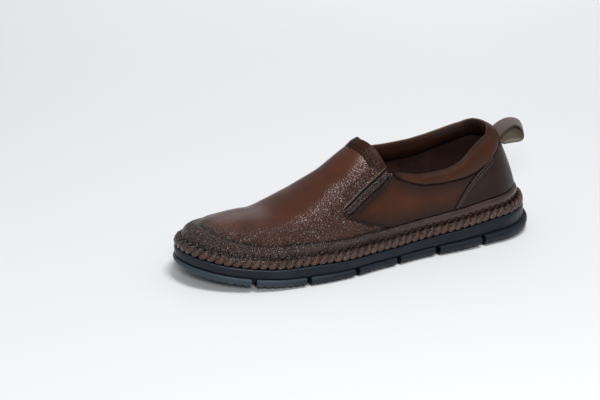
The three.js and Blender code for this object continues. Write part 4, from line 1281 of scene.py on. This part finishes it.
def make_loop():
    back = wall_point(np.array(0.0), np.array(LOOP_SEAT * HEEL_HEIGHT), GAP + COLLAR_SKIN)
    route = [(back[0] - behind * LOOP_REACH, height * HEEL_HEIGHT) for behind, height in LOOP]
    line, walk = catmull(route, 110)
    tangent = np.gradient(line, axis=0)
    tangent /= np.linalg.norm(tangent, axis=1, keepdims=True)
    normal = np.stack([-tangent[:, 1], tangent[:, 0]], -1)
    across = np.linspace(-1, 1, 21)
    selvedge = 1 + SELVEDGE * (np.abs(across) > 0.9)
    thick = RIBBON_THICK / 2 * np.sqrt(np.clip(1 - np.abs(across) ** 10, 0.05, 1)) * selvedge
    skin = Skin()

    def face(sign):
        rib = sign * thick + RIBBON_CUP * across**2
        x = line[:, None, 0] + normal[:, None, 0] * rib[None, :]
        z = line[:, None, 1] + normal[:, None, 1] * rib[None, :]
        walked = walk / walk[-1]
        turned = hill(walked, 0.55, 0.22)[:, None] * across[None, :]
        x = x + LOOP_SKEW * turned
        z = z - LOOP_DROP * turned
        lower = ramp(walked, 0.5, 0.75) * (1 - ramp(walked, 0.85, 1.0))
        z = z + LOOP_TILT * lower[:, None] * (1 - ramp(across, -1.0, 0.9))[None, :]
        y = np.broadcast_to(back[1] + across[None, :] * LOOP_WIDE / 2, x.shape)
        return np.stack([x, y, z], -1)

    ring = np.concatenate([face(1), face(-1)[:, ::-1]], axis=1)
    both = np.concatenate([across, across[::-1]])[None, :]
    inside = (np.arange(ring.shape[1]) < len(across))[None, :]
    values = {
        "walk": walk[:, None] + 0 * both,
        "across": both * LOOP_WIDE / 2 + 0 * walk[:, None],
        "shade": 0.9 * ramp(np.abs(both), 0.88, 0.95) + 0 * walk[:, None],
        "inside": inside + 0 * walk[:, None],
    }
    skin.add(ring, tube_faces(ring.shape[0], ring.shape[1], False, True), 0, **values)
    return make_piece("loop_ribbon", skin, [RIBBON], ["pull_loop"])


# Sole
TOOTH_PITCH = 5.8
TOOTH_WIDE = 1.5
TOOTH_HIGH = 2.4
TOOTH_DEEP = 2.6
CHAMFER_RUN = 2.2
CHAMFER_HIGH = 1.6
CHAMFER_DEEP = 1.2
# The sole's side from the tread up: shares of WELT outwards, of the sole's height and of the heel's flare
SIDE = [
    (-0.62, 0.0, 0.2),
    (-0.44, 0.0, 0.35),
    (-0.3, 0.03, 0.5),
    (-0.1, 0.1, 0.75),
    (0.05, 0.19, 0.95),
    (0.12, 0.28, 1.0),
    (0.13, 0.36, 0.97),
    (0.08, 0.43, 0.9),
    (0.0, 0.465, 0.7),
    (-0.12, 0.485, 0.4),
    (-0.19, 0.5, 0.3),
    (-0.14, 0.53, 0.27),
    (-0.08, 0.57, 0.25),
    (-0.06, 0.66, 0.2),
    (-0.05, 0.78, 0.15),
    (-0.02, 0.88, 0.1),
    (-0.02, 0.94, 0.05),
    (-0.07, 0.985, 0.0),
    (-0.14, 1.0, 0.0),
    (-0.2, 0.985, 0.0),
    (-0.24, 0.96, 0.0),
]


def sole_ways():
    """Ways round one side, with pairs close together at the walls of each notch."""
    even = np.linspace(0, 1, 560)
    extra = []
    for along in NOTCHES:
        way = way_of(along)
        x0, y0 = rim_point(np.array(way - 0.001), 0)
        x1, y1 = rim_point(np.array(way + 0.001), 0)
        per_mm = 0.002 / math.hypot(x1 - x0, y1 - y0)
        for edge in (-1, 1):
            for away in (-0.12, 0.12):
                extra.append(way + (edge * NOTCH_WIDE / 2 + away) * per_mm)
    return np.unique(np.concatenate([even, extra]))


def notch_distance(way):
    """Distance along the rim to the nearest notch's middle, in millimetres, with its sign."""
    x, y = rim_point(way, 0)
    nearest = np.full(np.shape(way), 1e3)
    for along in NOTCHES:
        middle = way_of(along)
        for side in (1, -1):
            at_x, at_y = rim_point(np.array(side * middle), 0)
            gap = np.hypot(x - at_x, y - at_y)
            same = np.sign(way) == side
            signed = np.where(np.abs(way) > middle, gap, -gap)
            closer = same & (gap < np.abs(nearest))
            nearest = np.where(closer, signed, nearest)
    return nearest


def make_sole():
    side = sole_ways()
    ways = np.concatenate([side, -side[1:-1][::-1]])
    along = station(ways)[0]
    back = np.sqrt(np.clip(1 - along / FLARE_END, 0, 1))
    low = spring(along) * TOE_SPRING
    high = seat_height(ways) - GAP
    notch = notch_distance(ways)
    cut = np.where(np.abs(notch) < NOTCH_WIDE / 2, 1.0, 0.0)
    outside = np.abs(notch) >= NOTCH_WIDE / 2
    chamfer = ramp(notch, NOTCH_WIDE / 2 + CHAMFER_RUN, NOTCH_WIDE / 2) * outside * (notch > 0)
    at, walked = ring_walk(0.0)
    run = np.interp(np.where(ways >= 0, ways, ways + 2), at, walked)
    phase = np.abs(np.mod(run, TOOTH_PITCH) - TOOTH_PITCH / 2)
    tooth = np.clip(1 - phase / TOOTH_WIDE, 0, 1) * ramp(along, 0.12, 0.2) * (np.abs(notch) > NOTCH_WIDE)
    rings = []
    shades = []
    highlight_rows = []
    for out, up, flare in SIDE:
        lower = 1 - ramp(up, 0.46, 0.475)
        inset = -out * WELT - flare * HEEL_FLARE * back + cut * lower * NOTCH_DEEP
        inset = inset + TOOTH_DEEP * tooth * (1 - ramp(up, 0.0, 0.12))
        inset = inset + CHAMFER_DEEP * chamfer * (1 - ramp(up, 0.0, 0.2))
        x, y = rim_point(ways, inset)
        height = between(low, high, up)
        lift = 1 - ramp(up, 0.0, 0.14)
        height = height + lift * (TOOTH_HIGH * tooth * 0.8 + GROOVE_HIGH * cut + CHAMFER_HIGH * chamfer)
        rings.append(np.stack([x, y, height], -1))
        shades.append(np.clip(0.85 * cut * lower + 0.6 * tooth * lift + 0.8 * hill(up, 0.5, 0.02), 0, 1))
        # Painted highlights: the lower tier towards the toe and the lips at the step and the top edge are
        # made lighter
        lips = 0.8 * hill(up, 0.43, 0.03) + hill(up, 1.0, 0.03)
        highlight_rows.append(0.8 * ramp(along, 0.62, 0.9) * lower + between(0.3, 1.0, ramp(along, 0.5, 0.85)) * lips)
    skin = Skin()
    rings = np.stack(rings, axis=1)
    shade = np.stack(shades, axis=1)
    dust = np.clip(np.stack(highlight_rows, axis=1), 0, 1)
    skin.add(rings, wrapped_faces(*rings.shape[:2]), 0, shade=shade, dust=dust)
    add_tread(skin, rings[:, 0], side, cut)
    add_cover(skin, rings[:, -1], len(side))
    return make_piece("unit_sole", skin, [RUBBER], ["outsole"], sharp=38)


def across_grid(ring, count, shares):
    """Points straight across from one side's ring to the other's."""
    index = np.arange(count)
    other = np.where((index == 0) | (index == count - 1), index, len(ring) - index)
    return between(ring[index][:, None], ring[other][:, None], shares[None, :, None])


RIB_PITCH = 5.8
RIB_DEEP = 1.1
WAIST_DEEP = 2.0


def add_tread(skin, ring, side, cut):
    """The underside: ribs across the tread between its grooves, and a hollow waist."""
    count = len(side)
    shares = crowded(46, 0.5)
    grid = across_grid(ring, count, shares)
    x, y = grid[..., 0], grid[..., 1]
    wide = np.linalg.norm(grid[:, 0] - grid[:, -1], axis=-1)[:, None]
    inside = np.minimum(shares, 1 - shares)[None, :] * wide
    border = ramp(inside, 3.0, 5.0)
    wave = np.abs(np.mod(x + 0.35 * np.abs(y) + 2.2 * np.sin(y / 9.0), RIB_PITCH) / RIB_PITCH - 0.5) * 2
    rib = RIB_DEEP * ramp(wave, 0.62, 0.8) * border
    along = station(side)[0][:, None]
    waist = ramp(along, NOTCHES[1], NOTCHES[1] + 0.01) * (1 - ramp(along, NOTCHES[2] - 0.01, NOTCHES[2]))
    waist = WAIST_DEEP * waist * ramp(inside, 14.0, 17.0)
    level = (cut[:count] > 0)[:, None]
    lift = np.where(level, 0.0, np.maximum(rib, waist))
    grid = grid.copy()
    grid[..., 2] += lift
    skin.add(grid, grid_faces(count, len(shares)), 0, shade=np.clip(lift * 0.5, 0, 1))


def add_cover(skin, ring, count):
    grid = across_grid(ring, count, np.linspace(0, 1, 3))
    skin.add(grid, grid_faces(count, 3)[:, ::-1], 0, shade=0.3)


# Footbed: its edge as shares of its thickness inwards and up
FOOTBED_EDGE = [(0.0, 0.0), (0.0, 0.6), (0.15, 0.85), (0.6, 1.0)]
HEEL_DISH = 0.8


def make_footbed():
    ways = ring_ways(0.01)
    side = ways[ways >= 0]
    edge = WELT + WALL + 2 * GAP
    skin = Skin()
    rings = []
    for inset, lift in FOOTBED_EDGE:
        x, y = rim_point(ways, edge + inset * INSOLE_THICK)
        rings.append(np.stack([x, y, seat_height(ways) + lift * INSOLE_THICK], -1))
    rings = np.stack(rings, axis=1)
    skin.add(rings, wrapped_faces(*rings.shape[:2]))
    shares = np.linspace(0, 1, 15)
    top = across_grid(rings[:, -1], len(side), shares).copy()
    dish = np.sin(math.pi * shares)[None, :] * hill(station(side)[0], 0.12, 0.1)[:, None]
    top[..., 2] -= HEEL_DISH * dish
    skin.add(top, grid_faces(len(side), len(shares))[:, ::-1])
    bottom = across_grid(rings[:, 0], len(side), shares)
    skin.add(bottom, grid_faces(len(side), len(shares)))
    return make_piece("footbed", skin, [LINING], ["insole"])


# Stitches
def point_along(at, walked, line):
    """The point of a line at a distance walked along it."""
    return np.array([np.interp(at, walked, line[:, k]) for k in range(3)])


def add_stitches(skin, line, out, pitch, long, thick):
    """Capsule stitches along a line of points, each lying on the surface with outward direction out."""
    walked = lengths_along(line[:, None, :], 0)[:, 0]
    total = walked[-1]
    turns = np.linspace(0, 2 * math.pi, 6, endpoint=False)
    steps = np.linspace(-1, 1, 5)
    girth = np.sqrt(np.clip(1 - np.abs(steps) ** 2.5, 0.05, 1))
    for start in np.arange(pitch / 2, total - pitch / 2, pitch):
        first = point_along(start - long / 2, walked, line)
        last = point_along(start + long / 2, walked, line)
        up = point_along(start, walked, out)
        middle = (first + last) / 2
        reach = (last - first) / 2
        side = np.cross(up, reach)
        side /= np.linalg.norm(side)
        points = []
        for step, wide in zip(steps, girth):
            centre = middle + reach * step + up * (0.25 * thick * wide)
            ring = [centre + (side * math.cos(t) + up * math.sin(t)) * thick / 2 * wide for t in turns]
            points.append(ring)
        skin.add(np.array(points), tube_faces(len(steps), len(turns), False, True))


def stitch_line(skin, ways, places, offset, pitch=3.4, long=2.5, thick=0.55):
    line = form_point(ways, places, offset)
    add_stitches(skin, line, form_normal(ways, places, offset), pitch, long, thick)


def make_dark_stitches():
    """Dark rows: beside the gore, under the collar, along the wing and inside the collar."""
    skin = Skin()
    for side, _ in SIDES:
        ways = side * side_ways(EDGE_START + 0.006, GORE_END - 0.008, 0.002)
        along = station(ways)[0]
        for away in (0.038, 0.06):
            stitch_line(skin, ways, gore_vamp(along) + away, 1.0, 3.0, 2.2, 0.5)
        ways = side * side_ways(0.145, COLLAR_END - 0.004, 0.002)
        low = collar_heights(ways)[0] - 1.5
        stitch_line(skin, ways, place_at(ways, low), GAP + PANEL_THICK, 3.8, 1.9, 0.9)
        ways = side * side_ways(WING_SEAM[0][0] + 0.004, QUARTER_END - 0.01, 0.002)
        wing = wing_seam(station(ways)[0]) * INSTEP_HEIGHT + 2.0
        stitch_line(skin, ways, place_at(ways, wing), GAP + PANEL_THICK, 3.0, 2.2, 0.45)
        ways = side * side_ways(EDGE_START + 0.004, QUARTER_END - 0.03, 0.002)
        strip = gore_quarter(station(ways)[0]) - EDGE_DROP - 4.4 / INSTEP_HEIGHT
        stitch_line(skin, ways, strip, GAP + PANEL_THICK, 2.8, 1.9, 0.45)
    side = side_ways(0.02, COLLAR_END - 0.004, 0.002)
    ways = np.concatenate([-side[1:][::-1], side])
    points, _, _ = collar_grid(ways)
    row = row_after_cuts(RIM_ROW) + 7
    line = points[:, row]
    out = np.cross(np.gradient(line, axis=0), points[:, row + 1] - points[:, row - 1])
    out = out / np.linalg.norm(out, axis=1, keepdims=True)
    add_stitches(skin, line, out * np.sign(line[:, 1:2] * out[:, 1:2]) * -1, 3.2, 1.6, 0.6)
    return make_piece("dark_stitches", skin, [DARK_THREAD])


def make_light_stitches():
    """Pale double rows along the counter's front seam."""
    skin = Skin()
    for side, _ in SIDES:
        ways = side * side_ways(COUNTER_SEAM[0][0] + 0.012, COUNTER_END - 0.002, 0.001)
        along = station(ways)[0]
        seam = counter_seam(along) * HEEL_HEIGHT
        for away in (1.6, 4.4):
            height = seam - away
            good = height > band_top(ways) + 1.0
            places = place_at(ways[good], height[good])
            stitch_line(skin, ways[good], places, GAP + COUNTER_THICK + 0.25, 2.5, 1.7, 0.5)
    return make_piece("light_stitches", skin, [LIGHT_THREAD])


# Finishes
VAMP = pebbled_hide("vamp_hide", "47210f", "0c0301", "512814", 0.42, 0.52, 0.82)
BAND = pebbled_hide("band_hide", "3a2016", "0c0402", "46291c", 0.4, 0.5, 1.0)
FACING = pebbled_hide("facing_hide", "32190d", "0c0402", "382013", 0.45, 0.6, 0.15)
ROLL = pebbled_hide("roll_hide", "351e16", "0a0402", "46342c", 0.24, 0.34, 0.8)
QUARTER = smooth_hide("quarter_hide", "4c2511", "2b170f", "0e0604")
COUNTER = smooth_hide("counter_hide", "301a12", "251510", "0a0403", 0.4)
COLLAR_HIDE = smooth_hide("collar_hide", "462413", "2b170f", "0e0604", 0.36, 0.2)
LINING = brushed_lining()
ELASTIC = ribbed_elastic()
CORD = waxed_cord()
RUBBER = moulded_rubber()
RIBBON = woven_ribbon("ribbon_weave", "66524b", "46382f")
DARK_THREAD = thread("dark_thread", "0c0706")
# Black for the painted shadow line inside the collar
SHADOW_LINE = thread("painted_shadow_line", "050404")
LIGHT_THREAD = thread("light_thread", "6e6560")

make_upper()
make_gore_folds()
make_gores()
make_quarter_edges()
make_quarters()
make_counter()
make_facing()
make_band()
make_braid()
make_collar()
make_inner_shadow_line()
make_loop()
make_sole()
make_footbed()
make_dark_stitches()
make_light_stitches()

# Stage
AZIMUTH = math.radians(28.667)
ELEVATION = math.radians(20.0)
CAMERA_DISTANCE = 1.9
LENS = 149.39
TARGET = Vector((0.16061, 0.005463, 0.052195))
SENSOR_WIDTH = 36.0
FLOOR_HALF = 6.0


def make_camera():
    data = bpy.data.cameras.new("camera")
    data.lens = LENS
    data.sensor_width = SENSOR_WIDTH
    camera = bpy.data.objects.new("camera", data)
    bpy.context.scene.collection.objects.link(camera)
    level = math.cos(ELEVATION)
    back = Vector((math.sin(AZIMUTH) * level, math.cos(AZIMUTH) * level, math.sin(ELEVATION)))
    camera.location = TARGET + back * CAMERA_DISTANCE
    camera.rotation_mode = "QUATERNION"
    camera.rotation_quaternion = (-back).to_track_quat("-Z", "Y")
    bpy.context.scene.camera = camera


def make_floor():
    mesh = bpy.data.meshes.new("floor")
    corners = [(x * FLOOR_HALF, y * FLOOR_HALF, 0) for x, y in ((-1, -1), (1, -1), (1, 1), (-1, 1))]
    mesh.from_pydata(corners, [], [(0, 1, 2, 3)])
    mesh.materials.append(floor_paper())
    floor = bpy.data.objects.new("floor", mesh)
    bpy.context.scene.collection.objects.link(floor)


# Round lamps: name, place, aim, width in metres and power in watts
MIDDLE = (0.11, 0.0, 0.04)
LAMPS = (
    ("key", (0.1, 0.5, 1.67), MIDDLE, 0.6, 15.0),
    ("behind", (-1.0, -3.0, 1.5), (-0.6, -1.8, 0.0), 1.5, 3.5),
    ("backdrop", (-0.5, -1.0, 0.95), (-0.8, -1.6, 0.05), 0.9, 5.0),
    ("front", (0.98, 1.58, 1.05), MIDDLE, 0.4, 13.0),
)
SKY_COLOR = (0.93, 0.96, 1.0, 1.0)
SKY_STRENGTH = 0.34


def add_light(name, place, aim, size, watts):
    data = bpy.data.lights.new(name, "AREA")
    data.shape = "DISK"
    data.size = size
    data.energy = watts
    light = bpy.data.objects.new(name, data)
    light.location = place
    light.rotation_mode = "QUATERNION"
    light.rotation_quaternion = (Vector(aim) - Vector(place)).to_track_quat("-Z", "Y")
    bpy.context.scene.collection.objects.link(light)


def make_lights():
    world = bpy.data.worlds.new("studio")
    world.use_nodes = True
    background = world.node_tree.nodes["Background"]
    background.inputs["Color"].default_value = SKY_COLOR
    background.inputs["Strength"].default_value = SKY_STRENGTH
    bpy.context.scene.world = world
    bpy.context.scene.view_settings.view_transform = "Standard"
    for lamp in LAMPS:
        add_light(*lamp)


make_camera()
make_floor()
make_lights()
